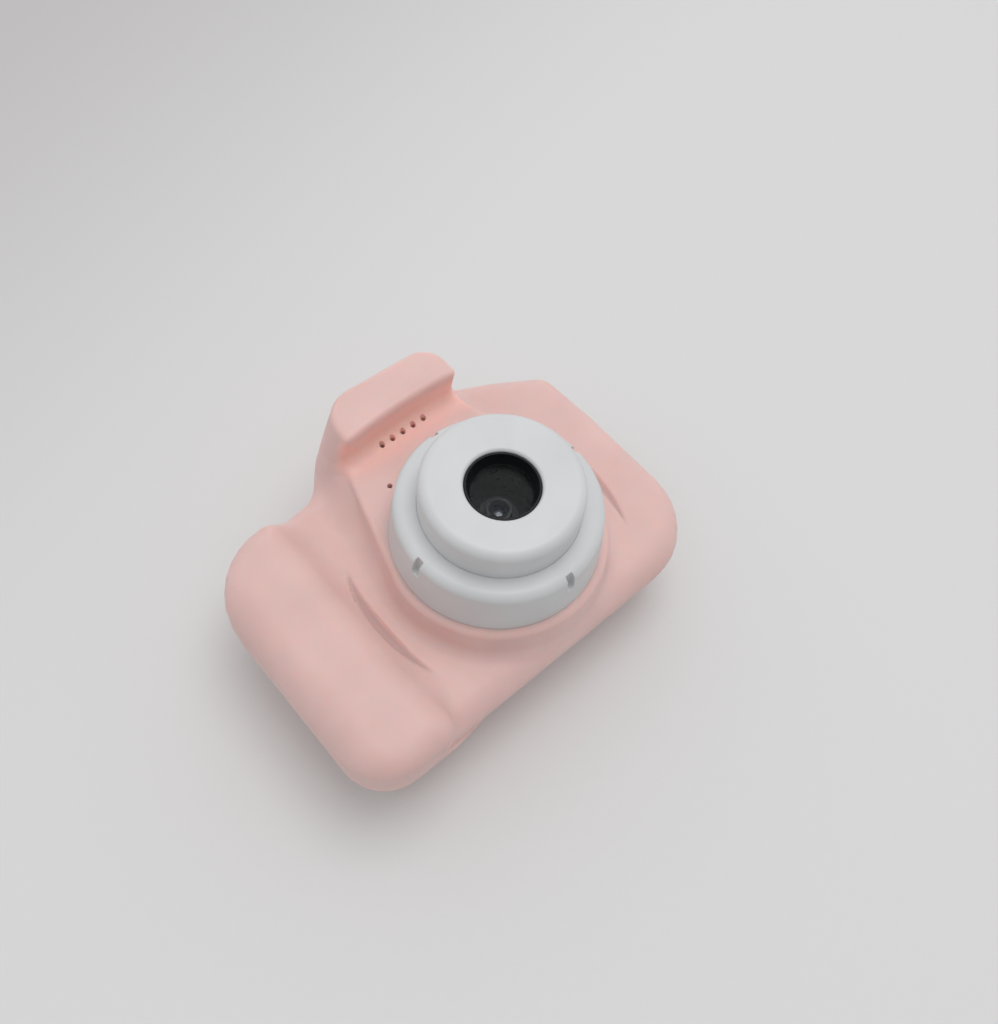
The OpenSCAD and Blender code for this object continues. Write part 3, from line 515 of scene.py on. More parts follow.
def hump_form(x, y, z):
    """Hump over the lens, with a brow that bends about the lens and a skirt beside the platform."""
    left = HUMP_X - x - soft_interp(z, HUMP_LEVELS_Z, HUMP_LEFT_W, HUMP_SOFT)
    right = x - HUMP_X - soft_interp(z, HUMP_LEVELS_Z, HUMP_RIGHT_W, HUMP_SOFT)
    crown = soft_interp(z, HUMP_LEVELS_Z, HUMP_CROWN_Y, HUMP_SOFT) - HUMP_CROWN_TILT * (x - HUMP_X)
    plan = round_max(np.maximum(left, right), y - crown, np.interp(x, HUMP_BLEND_X, HUMP_CROWN_R))
    brow = BROW_Y - BROW_BOW * ((x - HUMP_X) / HUMP_LEFT_W[-1]) ** 2 - y
    skirt = (brow - (PLAT_Z - HUMP_LEDGE - z) * SKIRT_RUN) / math.hypot(1, SKIRT_RUN)
    levels = np.maximum(round_max(plan, z - HUMP_Z, BROW_R), HUMP_LEVELS_Z[0] - z)
    edge = np.interp(z, [PLAT_Z, HUMP_Z], [BROW_FOOT_R, BROW_R])
    return round_max(levels, np.minimum(brow, skirt), edge)


def platform_outline():
    start = math.pi - PLAT_FLANK
    turns = start + (math.pi + 2 * PLAT_FLANK) * np.linspace(0, 1, 6 * ARC_STEPS)
    ring = [(PLAT_R * math.cos(a), PLAT_R * math.sin(a)) for a in turns]
    end_y = BROW_Y + WALL
    return np.array(ring + [(PLAT_FLANK_W, end_y), (-PLAT_FLANK_W, end_y)])


CRESCENT_TIP = CRESCENT_R * math.sin(CRESCENT_HALF)
CRESCENT_SAG = CRESCENT_R - CRESCENT_W - CRESCENT_R * math.cos(CRESCENT_HALF)
CRESCENT_INNER_R = (CRESCENT_TIP**2 + CRESCENT_SAG**2) / (2 * CRESCENT_SAG)
CRESCENT_INNER_X = CRESCENT_R - CRESCENT_W - CRESCENT_INNER_R


def crescent_inside(x, y):
    """Distance inside the edge of the crescents, each between two arcs, the left further out."""
    out = np.abs(x + CRESCENT_LEFT / 2) - CRESCENT_LEFT / 2
    beyond = np.hypot(out - CRESCENT_INNER_X, y) - CRESCENT_INNER_R
    return np.minimum(CRESCENT_R - np.hypot(out, y), beyond)


body_outline = rounded(BODY_CORNERS)
rear_outline = rounded(REAR_CORNERS)
grip_outline = rounded(GRIP_CORNERS)
wide_outline = rounded(WIDE_CORNERS)
plat_outline = platform_outline()


def body_field(x, y, z):
    """Slab and grip, the hump over them, and the platform with its cove under the brow."""
    fore, rear = outline_distance(body_outline, x, y), outline_distance(rear_outline, x, y)
    slab = fore + (rear - fore) * np.interp(z, REAR_Z, [1, 0])
    slab = block_form(slab, z, BODY_DEPTH, FRONT_R)
    grip = outline_distance(grip_outline, x, y) - np.interp(z, REAR_Z, [GRIP_W, 0])
    grip = np.maximum(grip, outline_distance(wide_outline, x, y))
    grip = block_form(grip, z, GRIP_Z, np.interp(y, GRIP_END_Y, GRIP_R))
    crease_r = np.interp(y, CREASE_END_Y, CREASE_ENDS_R)
    base = round_min(slab, grip, crease_r * np.interp(z, REAR_Z, [REAR_SHARP, 1]))
    blend = np.interp(x, HUMP_BLEND_X, HUMP_BLEND_R) - HUMP_BACK_R
    blend = HUMP_BACK_R + blend * np.interp(z, HUMP_BLEND_Z, [0, 1])
    base = round_min(base, hump_form(x, y, z), blend)
    flank = outline_distance(plat_outline, x, y) + (np.maximum(z, BODY_DEPTH) - PLAT_Z) * PLAT_SLOPE
    plat = round_max(flank / math.hypot(1, PLAT_SLOPE), z - PLAT_Z, PLAT_EDGE_R)
    plat = np.maximum(plat, BODY_DEPTH - PLAT_ROOT - z)
    foot = np.interp(y, PLAT_FOOT_Y, PLAT_FOOT_R) - BROW_COVE_R
    foot = BROW_COVE_R + foot * np.interp(z, [PLAT_Z - BROW_COVE_R, PLAT_Z], [1, 0])
    dish = CRESCENT_DEPTH * np.clip(crescent_inside(x, y) / CRESCENT_SOFT, 0, 1)
    # Only the crescents cap the front, so elsewhere the cap lies far above it
    cap = z - BODY_DEPTH + dish - (dish == 0) * TOP_REACH
    return np.maximum(round_min(base, plat, foot), cap)


def strap_axis():
    """A point on the strap tunnel across the lower corner, and its direction."""
    out = (FOOT_CORNER_R - STRAP_DEPTH) / math.sqrt(2)
    x, y = RIGHT_REACH - FOOT_CORNER_R + out, FOOT_CORNER_R - BOTTOM_REACH - out
    return np.array([x, y, STRAP_Z]), np.array([1, 1, 0]) / math.sqrt(2)


def hollow_field(x, y, z):
    """The space inside the walls, less the strap tunnel's boss and the guides of the buttons."""
    space = np.maximum(body_field(x, y, z) + WALL, BACK_WALL - z)
    for button, r in BUTTONS.items():
        turned_place = np.array(button_place(button).inverted())
        u, v, w = (row[0] * x + row[1] * y + row[2] * z + row[3] for row in turned_place[:3])
        tube = np.maximum(np.hypot(u, v) - r - SLIDE_GAP - RIB_T, -TUBE_IN - w)
        space = np.maximum(space, -tube)
    point, _ = strap_axis()
    across = ((x - point[0]) - (y - point[1])) / math.sqrt(2)
    boss = np.hypot(across, z - point[2]) - STRAP_D / 2 - STRAP_WALL
    return np.maximum(space, -boss)


def surface(name, field, low, high, step):
    """Closed mesh of a field's zero level, with one point in each cell that the level crosses."""
    axes = [np.arange(a - SKIN_ROOM, b + SKIN_ROOM, step) for a, b in zip(low, high)]
    values = field(*np.meshgrid(*axes, indexing="ij", sparse=True))
    cells = np.array(values.shape) - 1
    count = np.zeros(cells.prod())
    total = np.zeros((3, cells.prod()))
    quads = []
    for axis in range(3):
        here = np.take(values, range(cells[axis]), axis)
        there = np.take(values, range(1, cells[axis] + 1), axis)
        crossed = (here < 0) != (there < 0)
        edges = np.argwhere(crossed)
        place = edges.astype(float)
        place[:, axis] += here[crossed] / (here[crossed] - there[crossed])
        u, v = [k for k in range(3) if k != axis]
        ring = []
        for du, dv in ((-1, -1), (0, -1), (0, 0), (-1, 0)):
            cell = edges.copy()
            cell[:, u] += du
            cell[:, v] += dv
            flat = np.ravel_multi_index(cell.T, cells)
            ring.append(flat)
            count += np.bincount(flat, minlength=len(count))
            for k in range(3):
                total[k] += np.bincount(flat, place[:, k], minlength=len(count))
        ring = np.array(ring).T
        turned = (here[crossed] < 0) == (axis == 1)
        ring[turned] = ring[turned][:, ::-1]
        quads.append(ring)
    used = count > 0
    points = (total[:, used] / count[used]).T * step + [a[0] for a in axes]
    number = np.cumsum(used) - 1
    points = settled(field, points, step)
    return mesh_object(name, points, number[np.concatenate(quads)].tolist())


def settled(field, points, step):
    """Points moved onto the zero level of a field along its slope."""
    probe = step / PROBE_PARTS
    for _ in range(SETTLE_ROUNDS):
        value = field(*points.T)
        slope = np.array([field(*(points + probe * e).T) - value for e in np.eye(3)]).T / probe
        move = value[:, None] * slope / np.maximum((slope**2).sum(1), LEAST_SLOPE)[:, None]
        points = points - np.clip(move, -step / 2, step / 2)
    return points


# Materials

PINK = (225, 190, 184)
# Painted shade: a darker pink over the crescent recesses
CRESCENT_SHADE_PINK = (204, 168, 163)
# Painted light: a brighter, redder pink at the foot of the brow, a glow under the hump
BROW_GLOW_PINK = (255, 196, 184)
BROW_RUN = 5
BROW_SIDE = 2
WHITE = (208, 209, 209)
SUBSURFACE = 0.7
SUBSURFACE_REACH = (1, 0.26, 0.18)
SUBSURFACE_MM = 2.2
SCREEN_DARK = (10, 10, 12)
SCREEN_ACTIVE = (25, 28, 33)
SCREEN_GLOSS = (0.05, 0.09)
WINDOW_IOR = 1.25
CLEAR_DRIFT = 6

# Noise: the values it mostly keeps between, and its features per millimetre
NOISE_SPAN = (0.3, 0.7)
DRIFT_SCALE = 0.08
SCREEN_SCALE = 0.1
CLEAR_SCALE = 0.2
GLOSS_SCALE = 0.6
METAL_SCALE = 3
METAL_DETAIL = 4
METAL_STOPS = ((0.35, -10), (0.65, 8))
PLASTIC_GLOSS = 0.05
METAL_GLOSS = 0.07


def linear(colour):
    """Linear colour from eight-bit sRGB values."""
    shares = np.array(colour) / 255
    curve = ((shares + 0.055) / 1.055) ** 2.4
    return (*np.where(shares <= 0.04045, shares / 12.92, curve), 1)


def material(name, roughness, **sockets):
    """New material with its shader's plain values set on the shader's own sockets."""
    made = bpy.data.materials.new(name)
    made.use_nodes = True
    shader = made.node_tree.nodes["Principled BSDF"]
    shader.inputs["Roughness"].default_value = roughness
    for socket, value in sockets.items():
        shader.inputs[socket.replace("_", " ")].default_value = value
    return made, made.node_tree, shader


def coords(tree):
    """Place on the piece, in metres."""
    return tree.nodes.new("ShaderNodeTexCoord").outputs["Object"]


def dress(tree, shader, base, gloss=None):
    """Links a colour, and an uneven gloss where there is one, to a shader."""
    tree.links.new(base, shader.inputs["Base Color"])
    if gloss:
        tree.links.new(gloss, shader.inputs["Roughness"])


def noise(tree, scale, detail=2):
    """Noise over the piece, with a scale in features per millimetre."""
    texture = tree.nodes.new("ShaderNodeTexNoise")
    texture.inputs["Scale"].default_value = scale / MM
    texture.inputs["Detail"].default_value = detail
    tree.links.new(coords(tree), texture.inputs["Vector"])
    return texture.outputs["Fac"]


def colour_ramp(tree, factor, stops):
    """Colour that follows a factor through stops of place and eight-bit colour."""
    ramp = tree.nodes.new("ShaderNodeValToRGB")
    while len(ramp.color_ramp.elements) < len(stops):
        ramp.color_ramp.elements.new(0.5)
    for element, (place, colour) in zip(ramp.color_ramp.elements, stops):
        element.position = place
        element.color = linear(colour)
    tree.links.new(factor, ramp.inputs["Fac"])
    return ramp.outputs["Color"]


def mapped(tree, value, start, end, low=0, high=1, kind="LINEAR"):
    """Number that runs from low to high as a value runs from start to end."""
    node = tree.nodes.new("ShaderNodeMapRange")
    node.interpolation_type = kind
    ends = {"From Min": start, "From Max": end, "To Min": low, "To Max": high}
    for socket, number in ends.items():
        node.inputs[socket].default_value = number
    tree.links.new(value, node.inputs["Value"])
    return node.outputs["Result"]


def ramp_up(tree, value, start, end):
    """Soft share from 0 to 1 as a number in metres runs between two places in millimetres."""
    return mapped(tree, value, start * MM, end * MM, kind="SMOOTHSTEP")


def spread(tree, factor, low, high):
    """Number that follows a noise from low to high."""
    return mapped(tree, factor, *NOISE_SPAN, low, high)


def bump(tree, shader, height, depth_mm):
    relief = tree.nodes.new("ShaderNodeBump")
    relief.inputs["Distance"].default_value = depth_mm * MM
    relief.inputs["Strength"].default_value = 1
    tree.links.new(height, relief.inputs["Height"])
    tree.links.new(relief.outputs["Normal"], shader.inputs["Normal"])


def vector_math(tree, operation, *values):
    """Vector node over sockets and plain vectors; a distance or dot product gives a number."""
    node = fed(tree, "ShaderNodeVectorMath", operation, values)
    return node.outputs["Value" if operation in ("DISTANCE", "DOT_PRODUCT") else "Vector"]


def math_node(tree, operation, *values):
    """Number node over sockets and plain numbers."""
    return fed(tree, "ShaderNodeMath", operation, values).outputs["Value"]


def fed(tree, kind, operation, values):
    node = tree.nodes.new(kind)
    node.operation = operation
    for socket, value in zip(node.inputs, values):
        if isinstance(value, bpy.types.NodeSocket):
            tree.links.new(value, socket)
        else:
            socket.default_value = value
    return node


def shade(colour, by):
    """An eight-bit colour made lighter or darker by some steps."""
    return tuple(min(max(c + by, 0), 255) for c in colour)


def moulded(name, colour, rough, drift=4, grain_mm=0.25, grain_depth=0.006, **sockets):
    """Moulded plastic: slow colour drift, uneven gloss and a fine spark-eroded grain."""
    made, tree, shader = material(name, rough, **sockets)
    stops = list(zip(NOISE_SPAN, (shade(colour, -drift), shade(colour, drift))))
    base = colour_ramp(tree, noise(tree, DRIFT_SCALE), stops)
    uneven = noise(tree, GLOSS_SCALE)
    gloss = spread(tree, uneven, rough - PLASTIC_GLOSS, rough + PLASTIC_GLOSS)
    dress(tree, shader, base, gloss)
    bump(tree, shader, noise(tree, 1 / grain_mm, 1), grain_depth)
    return made


def metal(name, colour, rough):
    """Plated or brushed metal with fine drawn lines."""
    made, tree, shader = material(name, rough, Metallic=1)
    fine = noise(tree, METAL_SCALE, METAL_DETAIL)
    stops = [(place, shade(colour, by)) for place, by in METAL_STOPS]
    gloss = spread(tree, fine, rough - METAL_GLOSS, rough + METAL_GLOSS)
    dress(tree, shader, colour_ramp(tree, fine, stops), gloss)
    return made


def clear(name, colour, rough=0.03):
    """Clear moulded window, coated against reflections, with a faint drift of its tint."""
    made, tree, shader = material(name, rough, Transmission_Weight=1.0, IOR=WINDOW_IOR)
    stops = list(zip(NOISE_SPAN, (shade(colour, -CLEAR_DRIFT), colour)))
    dress(tree, shader, colour_ramp(tree, noise(tree, CLEAR_SCALE), stops))
    return made


def screen_glass(name, low, high):
    """Black glass over a display, a little lighter over the area that lights up."""
    made, tree, shader = material(name, 0.06, Coat_Weight=0.5)
    split = tree.nodes.new("ShaderNodeSeparateXYZ")
    tree.links.new(coords(tree), split.inputs["Vector"])
    inside = []
    for axis, a, b in zip("XY", low, high):
        half = (b - a) / 2 - ACTIVE_IN * MM
        inside.append(math_node(tree, "COMPARE", split.outputs[axis], (a + b) / 2, half))
    active = math_node(tree, "MULTIPLY", *inside)
    base = colour_ramp(tree, active, [(0, SCREEN_DARK), (1, SCREEN_ACTIVE)])
    dress(tree, shader, base, spread(tree, noise(tree, SCREEN_SCALE), *SCREEN_GLOSS))
    return made


def crescent_share(tree, axes):
    """1 inside the crescents of the front, 0 outside."""
    flat = tree.nodes.new("ShaderNodeCombineXYZ")
    half = CRESCENT_LEFT / 2 * MM
    out = math_node(tree, "ABSOLUTE", math_node(tree, "ADD", axes.outputs["X"], half))
    tree.links.new(math_node(tree, "SUBTRACT", out, half), flat.inputs["X"])
    tree.links.new(axes.outputs["Y"], flat.inputs["Y"])
    outer = vector_math(tree, "DISTANCE", flat.outputs["Vector"], (0, 0, 0))
    inner = vector_math(tree, "DISTANCE", flat.outputs["Vector"], (CRESCENT_INNER_X * MM, 0, 0))
    within = math_node(
        tree, "MULTIPLY",
        ramp_up(tree, outer, CRESCENT_R, CRESCENT_R - CRESCENT_SOFT),
        ramp_up(tree, inner, CRESCENT_INNER_R, CRESCENT_INNER_R + CRESCENT_SOFT),
    )
    front = ramp_up(tree, axes.outputs["Z"], WAIST_Z, BODY_DEPTH - WALL)
    return math_node(tree, "MULTIPLY", within, front)


def brow_glow_share(tree, axes):
    """1 at the foot of the brow, where a painted red glow stands for the light that comes through
    the hump, and 0 away from it.
    """
    share = ramp_up(tree, axes.outputs["Y"], SOUND_Y - BROW_RUN, BROW_Y)
    beside = math_node(tree, "SUBTRACT", axes.outputs["X"], HUMP_X * MM)
    beside = math_node(tree, "ABSOLUTE", beside)
    for part in (
        ramp_up(tree, axes.outputs["Y"], BROW_Y + WALL, BROW_Y),
        ramp_up(tree, axes.outputs["Z"], BODY_DEPTH, PLAT_Z),
        ramp_up(tree, axes.outputs["Z"], HUMP_Z, PLAT_Z + BROW_FOOT_R),
        ramp_up(tree, beside, HUMP_LEFT_W[2] + BROW_SIDE, HUMP_LEFT_W[3]),
    ):
        share = math_node(tree, "MULTIPLY", share, part)
    return share


def tint(tree, shader, share, colour):
    """Mixes a second colour over a shader's own by a share."""
    mixed = tree.nodes.new("ShaderNodeMix")
    mixed.data_type = "RGBA"
    socket = {s.identifier: s for s in mixed.inputs}
    tree.links.new(share, socket["Factor_Float"])
    tree.links.new(shader.inputs["Base Color"].links[0].from_socket, socket["A_Color"])
    socket["B_Color"].default_value = linear(colour)
    result = [s for s in mixed.outputs if s.identifier == "Result_Color"][0]
    tree.links.new(result, shader.inputs["Base Color"])


def shell_pink():
    """Pink plastic that lets red light through, with painted shade darkening the crescents and a
    painted red glow at the foot of the brow.
    """
    made = moulded("pink_shell", PINK, 0.5)
    tree = made.node_tree
    shader = tree.nodes["Principled BSDF"]
    shader.inputs["Subsurface Weight"].default_value = SUBSURFACE
    shader.inputs["Subsurface Radius"].default_value = SUBSURFACE_REACH
    shader.inputs["Subsurface Scale"].default_value = SUBSURFACE_MM * MM
    axes = tree.nodes.new("ShaderNodeSeparateXYZ")
    tree.links.new(vector_math(tree, "SUBTRACT", coords(tree), LENS), axes.inputs["Vector"])
    # Painted shade darkens the crescents
    tint(tree, shader, crescent_share(tree, axes), CRESCENT_SHADE_PINK)
    # Painted light brightens the foot of the brow in red
    tint(tree, shader, brow_glow_share(tree, axes), BROW_GLOW_PINK)
    return made


pink = shell_pink()
white = moulded("white_plastic", WHITE, 0.42)
bezel_black = moulded(
    "bezel_black", (17, 18, 20), 0.3, drift=1, grain_depth=0.001, Specular_IOR_Level=0.25
)
window_clear = clear("window_clear", (236, 240, 240))
# Painted highlight: a lighter grey for the rim of the bezel's mouth
lip_highlight_grey = moulded("lip_highlight_grey", (84, 86, 90), 0.2, drift=2, grain_depth=0)
cell_black = moulded("cell_black", (20, 21, 24), 0.35, drift=2, Specular_IOR_Level=0.3)
holder_black = moulded("holder_black", (13, 14, 16), 0.55, drift=1, Specular_IOR_Level=0.15)
# Painted shade: a darker pink for the inside of the strap tunnel
bore_shade_pink = moulded("bore_shade_pink", (140, 96, 94), 0.6)
coated = moulded("coated_glass", (28, 26, 44), 0.06, drift=6, grain_depth=0, Coat_Weight=1.0)
screen_black = screen_glass("screen_black", *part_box("screen_cover"))
mark_grey = moulded("mark_grey", (96, 98, 102), 0.5)
panel_grey = moulded("panel_grey", (38, 42, 48), 0.15, drift=3, grain_depth=0)
tin = metal("tin_plate", (196, 196, 192), 0.32)
steel = metal("screw_steel", (150, 150, 152), 0.3)
board_green = moulded("board_green", (32, 84, 58), 0.35, drift=10, grain_mm=0.5)
chip_black = moulded("chip_black", (34, 34, 36), 0.55, drift=3)
ribbon_amber = moulded("ribbon_amber", (190, 124, 44), 0.3, drift=8)
ivory = moulded("connector_ivory", (226, 220, 200), 0.45)
foam_grey = moulded("foam_grey", (70, 72, 76), 0.9, drift=10, grain_mm=0.3, grain_depth=0.08)
wrap_silver = moulded("battery_wrap", (170, 180, 192), 0.3, drift=6)
speaker_black = moulded("speaker_black", (40, 40, 42), 0.6, drift=3)
switch_grey = moulded("switch_grey", (92, 94, 98), 0.45)
plunger_dark = moulded("plunger_dark", (52, 46, 44), 0.5)


def finish_piece(obj, made, node, body="camera"):
    """Gives a piece its shading, material and body, and hides the CAD node that it stands for."""
    obj.data.shade_smooth()
    obj.data.set_sharp_from_angle(angle=math.radians(SHARP_DEGREES))
    obj.modifiers.new("normals", "WEIGHTED_NORMAL").keep_sharp = True
    obj.data.materials.clear()
    obj.data.materials.append(made)
    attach(obj, body)
    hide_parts(node)


# Shells


def half_body(name, above):
    """The body on one side of the parting line, made a little over it and cut off flat."""
    side = -1 if above else 1

    def field(x, y, z):
        return np.maximum(body_field(x, y, z), side * (z - SPLIT_Z) - SKIN_ROOM / 2)

    low = (-GRIP_REACH, -BOTTOM_REACH - GRIP_DROP, SPLIT_Z if above else 0)
    high = (RIGHT_REACH, TOP_REACH, HUMP_Z if above else SPLIT_Z)
    half = surface(name, field, low, high, SKIN_STEP)
    around = rectangle(0, 0, 4 * GRIP_REACH, 4 * GRIP_REACH, TOOL_CORNER_R)
    ends = sorted([SPLIT_Z - side * SEAM_GAP, SPLIT_Z + side * SKIN_ROOM])
    combine(half, [prism("tool", around, *ends)], "DIFFERENCE")
    low, high = (*low[:2], 0), (*high[:2], HUMP_Z)
    space = surface("tool", hollow_field, low, high, HOLLOW_STEP)
    return combine(half, [space], "DIFFERENCE")


def flared_hole(x, y, r, mouth_z, end_z):
    """Round cut with a slightly widened mouth."""
    out = math.copysign(HOLE_OUT, mouth_z - end_z)
    step = math.copysign(FLARE, mouth_z - end_z)
    place = Matrix.Translation((x, y, 0))
    return lathe("tool", [
        (0, end_z, 0),
        (r, end_z, 0),
        (r, mouth_z - step, FLARE / 2),
        (r + FLARE, mouth_z, 0),
        (r + FLARE, mouth_z + out, 0),
        (0, mouth_z + out, 0),
    ], HOLE_STEPS, place)


def rod(r, low, high, steps, place):
    corners = [(0, low, 0), (r, low, 0), (r, high, 0), (0, high, 0)]
    return lathe("tool", corners, steps, place)


def strap_bore():
    point, _ = strap_axis()
    turn = Matrix.Rotation(math.pi / 4, 4, "Z") @ Matrix.Rotation(math.pi / 2, 4, "Y")
    reach = 2 * FOOT_CORNER_R
    return rod(STRAP_D / 2, -reach, reach, DISC_STEPS, Matrix.Translation(point) @ turn)


def paint_bore(shell):
    """Gives the wall of the strap tunnel, which stays in shade, a darker material."""
    shell.data.materials.append(bore_shade_pink)
    point, along = strap_axis()
    for face in shell.data.polygons:
        off = (np.array(face.center) - LENS) / MM - point
        off = off - along * (off @ along)
        far = np.linalg.norm(off)
        if far < STRAP_D / 2 and off @ np.array(face.normal) < -BORE_FACING * far:
            face.material_index = 1


def button_place(button):
    """Place of a top button, with its local z axis out of the wall."""
    if button == "shutter":
        low, high = span("shutter_button")
        turn, x, y = 0, (low[0] + high[0]) / 2, GRIP_TOP
    else:
        run, drop = SHOULDER_CAD[0] - HUMP_CAD[0], HUMP_CAD[1] - SHOULDER_CAD[1]
        turn = -math.atan2(drop, run)
        x, y = POWER_X, SHOULDER_CAD[1] + (SHOULDER_CAD[0] - POWER_X) * drop / run
    place = Matrix.Translation((x, y, TOP_KEY_Z)) @ Matrix.Rotation(turn, 4, "Z")
    return place @ Matrix.Rotation(-math.pi / 2, 4, "X")


def guide_bores():
    return [
        rod(r + SLIDE_GAP, -TUBE_IN - OVER, TUBE_IN, KEY_STEPS, button_place(button))
        for button, r in BUTTONS.items()
    ]


def ports():
    """Openings for the plug and the card through the plain end."""
    cuts = []
    start = span("card_socket")[1][0] + PORT_IN
    for node, gap in PORT_GAPS.items():
        low, high = span(node)
        middle_y, middle_z = (low[1] + high[1]) / 2, (low[2] + high[2]) / 2
        w, h = high[1] - low[1] + 2 * gap, high[2] - low[2] + 2 * gap
        outline = rectangle(middle_y, middle_z, w, h, h / 3)
        cuts.append(prism("tool", outline, start, RIGHT_REACH + OVER, place=STAND))
    return cuts


def post_discs(r, low, high):
    return [disc(*p, r, low, high) for p in POSTS]


def make_front_shell():
    shell = half_body("front_case", True)
    roof_z = PLAT_Z - WALL
    seats = [(0, SOUND_Y, SPEAKER_R + SEAT_GAP), (*MIC, MIC_R + SEAT_GAP)]
    combine(shell, post_discs(POST_R, BOARD_TOP, BODY_DEPTH - WALL + ROOT), "UNION")
    bosses = [
        disc(x, 0, MODULE_BOSS_R, MODULE_Z, roof_z + ROOT)
        for x in (-MODULE_SCREW_X, MODULE_SCREW_X)
    ]
    combine(shell, bosses, "UNION")
    for x, y, r in seats:
        combine(shell, [disc(x, y, r + RIB_T, roof_z - RIB_H, roof_z + ROOT)], "UNION")
        combine(shell, [disc(x, y, r, roof_z - RIB_H - OVER, roof_z)], "DIFFERENCE")
    cuts = [disc(0, 0, EYE_HOLE_R, roof_z - OVER, PLAT_Z + OVER, CAP_STEPS)]
    row = (SOUND_COUNT - 1) / 2
    places = [((k - row) * SOUND_PITCH, SOUND_Y) for k in range(SOUND_COUNT)] + [MIC]
    cuts += [flared_hole(x, y, SOUND_D / 2, PLAT_Z, roof_z - OVER) for x, y in places]
    cuts += post_discs(SPIGOT_R + SEAT_GAP, BOARD_TOP - OVER, SPLIT_Z + SEAT_GAP)
    for a in BARREL_SCREW_TURNS:
        x, y = BARREL_SCREW_R * math.cos(a), BARREL_SCREW_R * math.sin(a)
        cuts.append(disc(x, y, SMALL_SCREW_R + SCREW_GAP, roof_z - OVER, PLAT_Z + OVER))
    cuts += [strap_bore()] + guide_bores() + ports()
    combine(shell, cuts, "DIFFERENCE")
    combine(shell, post_discs(SCREW_R + SCREW_GAP, SPLIT_Z, SCREW_END_Z + OVER), "DIFFERENCE")
    finish_piece(shell, pink, "front_shell")
    paint_bore(shell)


def make_rear_shell():
    shell = half_body("rear_case", False)
    combine(shell, post_discs(POST_R, BACK_WALL / 2, BOARD_Z), "UNION")
    combine(shell, post_discs(SPIGOT_R, BOARD_Z - ROOT, SPLIT_Z), "UNION")
    combine(shell, guide_bores() + ports(), "DIFFERENCE")
    seat_z = span("screen_cover")[1][2]
    recess = plan_of("screen_cover", SCREEN_R, SEAT_GAP)
    lights = plan_of("screen_cover", SCREEN_R, -SCREEN_LEDGE)
    combine(shell, [prism("tool", recess, -OVER, seat_z)], "DIFFERENCE")
    cuts = [prism("tool", lights, seat_z - OVER, BACK_WALL + OVER)]
    for key in KEYS:
        x, y, r = key_circle(key)
        cuts.append(flared_hole(x, y, r + SLIDE_GAP, 0, BACK_WALL + OVER))
    cuts += [flared_hole(*p, HEAD_R + SLIDE_GAP, 0, HEAD_SEAT_Z) for p in POSTS]
    combine(shell, cuts, "DIFFERENCE")
    screws = post_discs(SCREW_R + SCREW_GAP, HEAD_SEAT_Z - OVER, SPLIT_Z + OVER)
    combine(shell, screws, "DIFFERENCE")
    finish_piece(shell, pink, "rear_shell")


# Keys, buttons and screen

KEYS = {"ok": None, "up": 90, "down": -90, "left": 180, "right": 0, "menu": None, "play": None}


def key_circle(key):
    """Middle and radius of a key of the back."""
    low, high = span(f"key_{key}")
    return (low[0] + high[0]) / 2, (low[1] + high[1]) / 2, (high[0] - low[0]) / 2 - FLANGE_OVER


def turned(outline, degrees):
    a = math.radians(degrees)
    return outline @ np.array([[math.cos(a), math.sin(a)], [-math.sin(a), math.cos(a)]])


def key_marks(key, r):
    """Outlines of a key's mark about its middle: an arrow, a spot, three bars or a play sign."""
    half, back = ARROW_HALF * r, -ARROW_BACK * r
    arrow = rounded([(half, 0, ARROW_R), (back, half, ARROW_R), (back, -half, ARROW_R)])
    if key == "ok":
        return [rectangle(0, 0, SPOT_W * r, SPOT_W * r, SPOT_R * r)]
    if key == "menu":
        return [rectangle(0, k * BAR_PITCH * r, r, BAR_H * r, BAR_R * r) for k in (-1, 0, 1)]
    if key == "play":
        return [turned(arrow, 180) * PLAY_GROWTH]
    return [turned(arrow, KEYS[key])]


def make_key(key):
    x, y, r = key_circle(key)
    low, high = span(f"key_{key}")
    face_z = low[2]
    cap = lathe(f"{key}_cap", [
        (0, face_z + KEY_DISH, 0),
        (r, face_z, KEY_EDGE_R),
        (r, FLANGE_Z, 0),
        (r + FLANGE_OVER, FLANGE_Z, FINE_R),
        (r + FLANGE_OVER, FLANGE_Z + FLANGE_T, FINE_R),
        (STEM_R, FLANGE_Z + FLANGE_T, 0),
        (STEM_R, high[2], 0),
        (0, high[2], 0),
    ], KEY_STEPS, Matrix.Translation((x, y, 0)))
    floor_z = face_z + KEY_DISH + MARK_DEPTH
    marks = [prism("tool", mark + [x, y], face_z - OVER, floor_z) for mark in key_marks(key, r)]
    combine(cap, marks, "DIFFERENCE")
    finish_piece(cap, white, f"key_{key}", f"{key}_key")
    paint(cap, mark_grey, floor_z)


def power_mark(r):
    """The usual mark of a power key: a ring open at the top, with a bar."""
    turns = np.radians(np.linspace(*POWER_ARC, POWER_ARC_POINTS))
    arc = np.array([np.cos(turns), np.sin(turns)]).T
    ring = np.concatenate([POWER_OUTER_R * r * arc, POWER_INNER_R * r * arc[::-1]])
    return [ring, rectangle(0, POWER_INNER_R * r, *(share * r for share in POWER_BAR))]


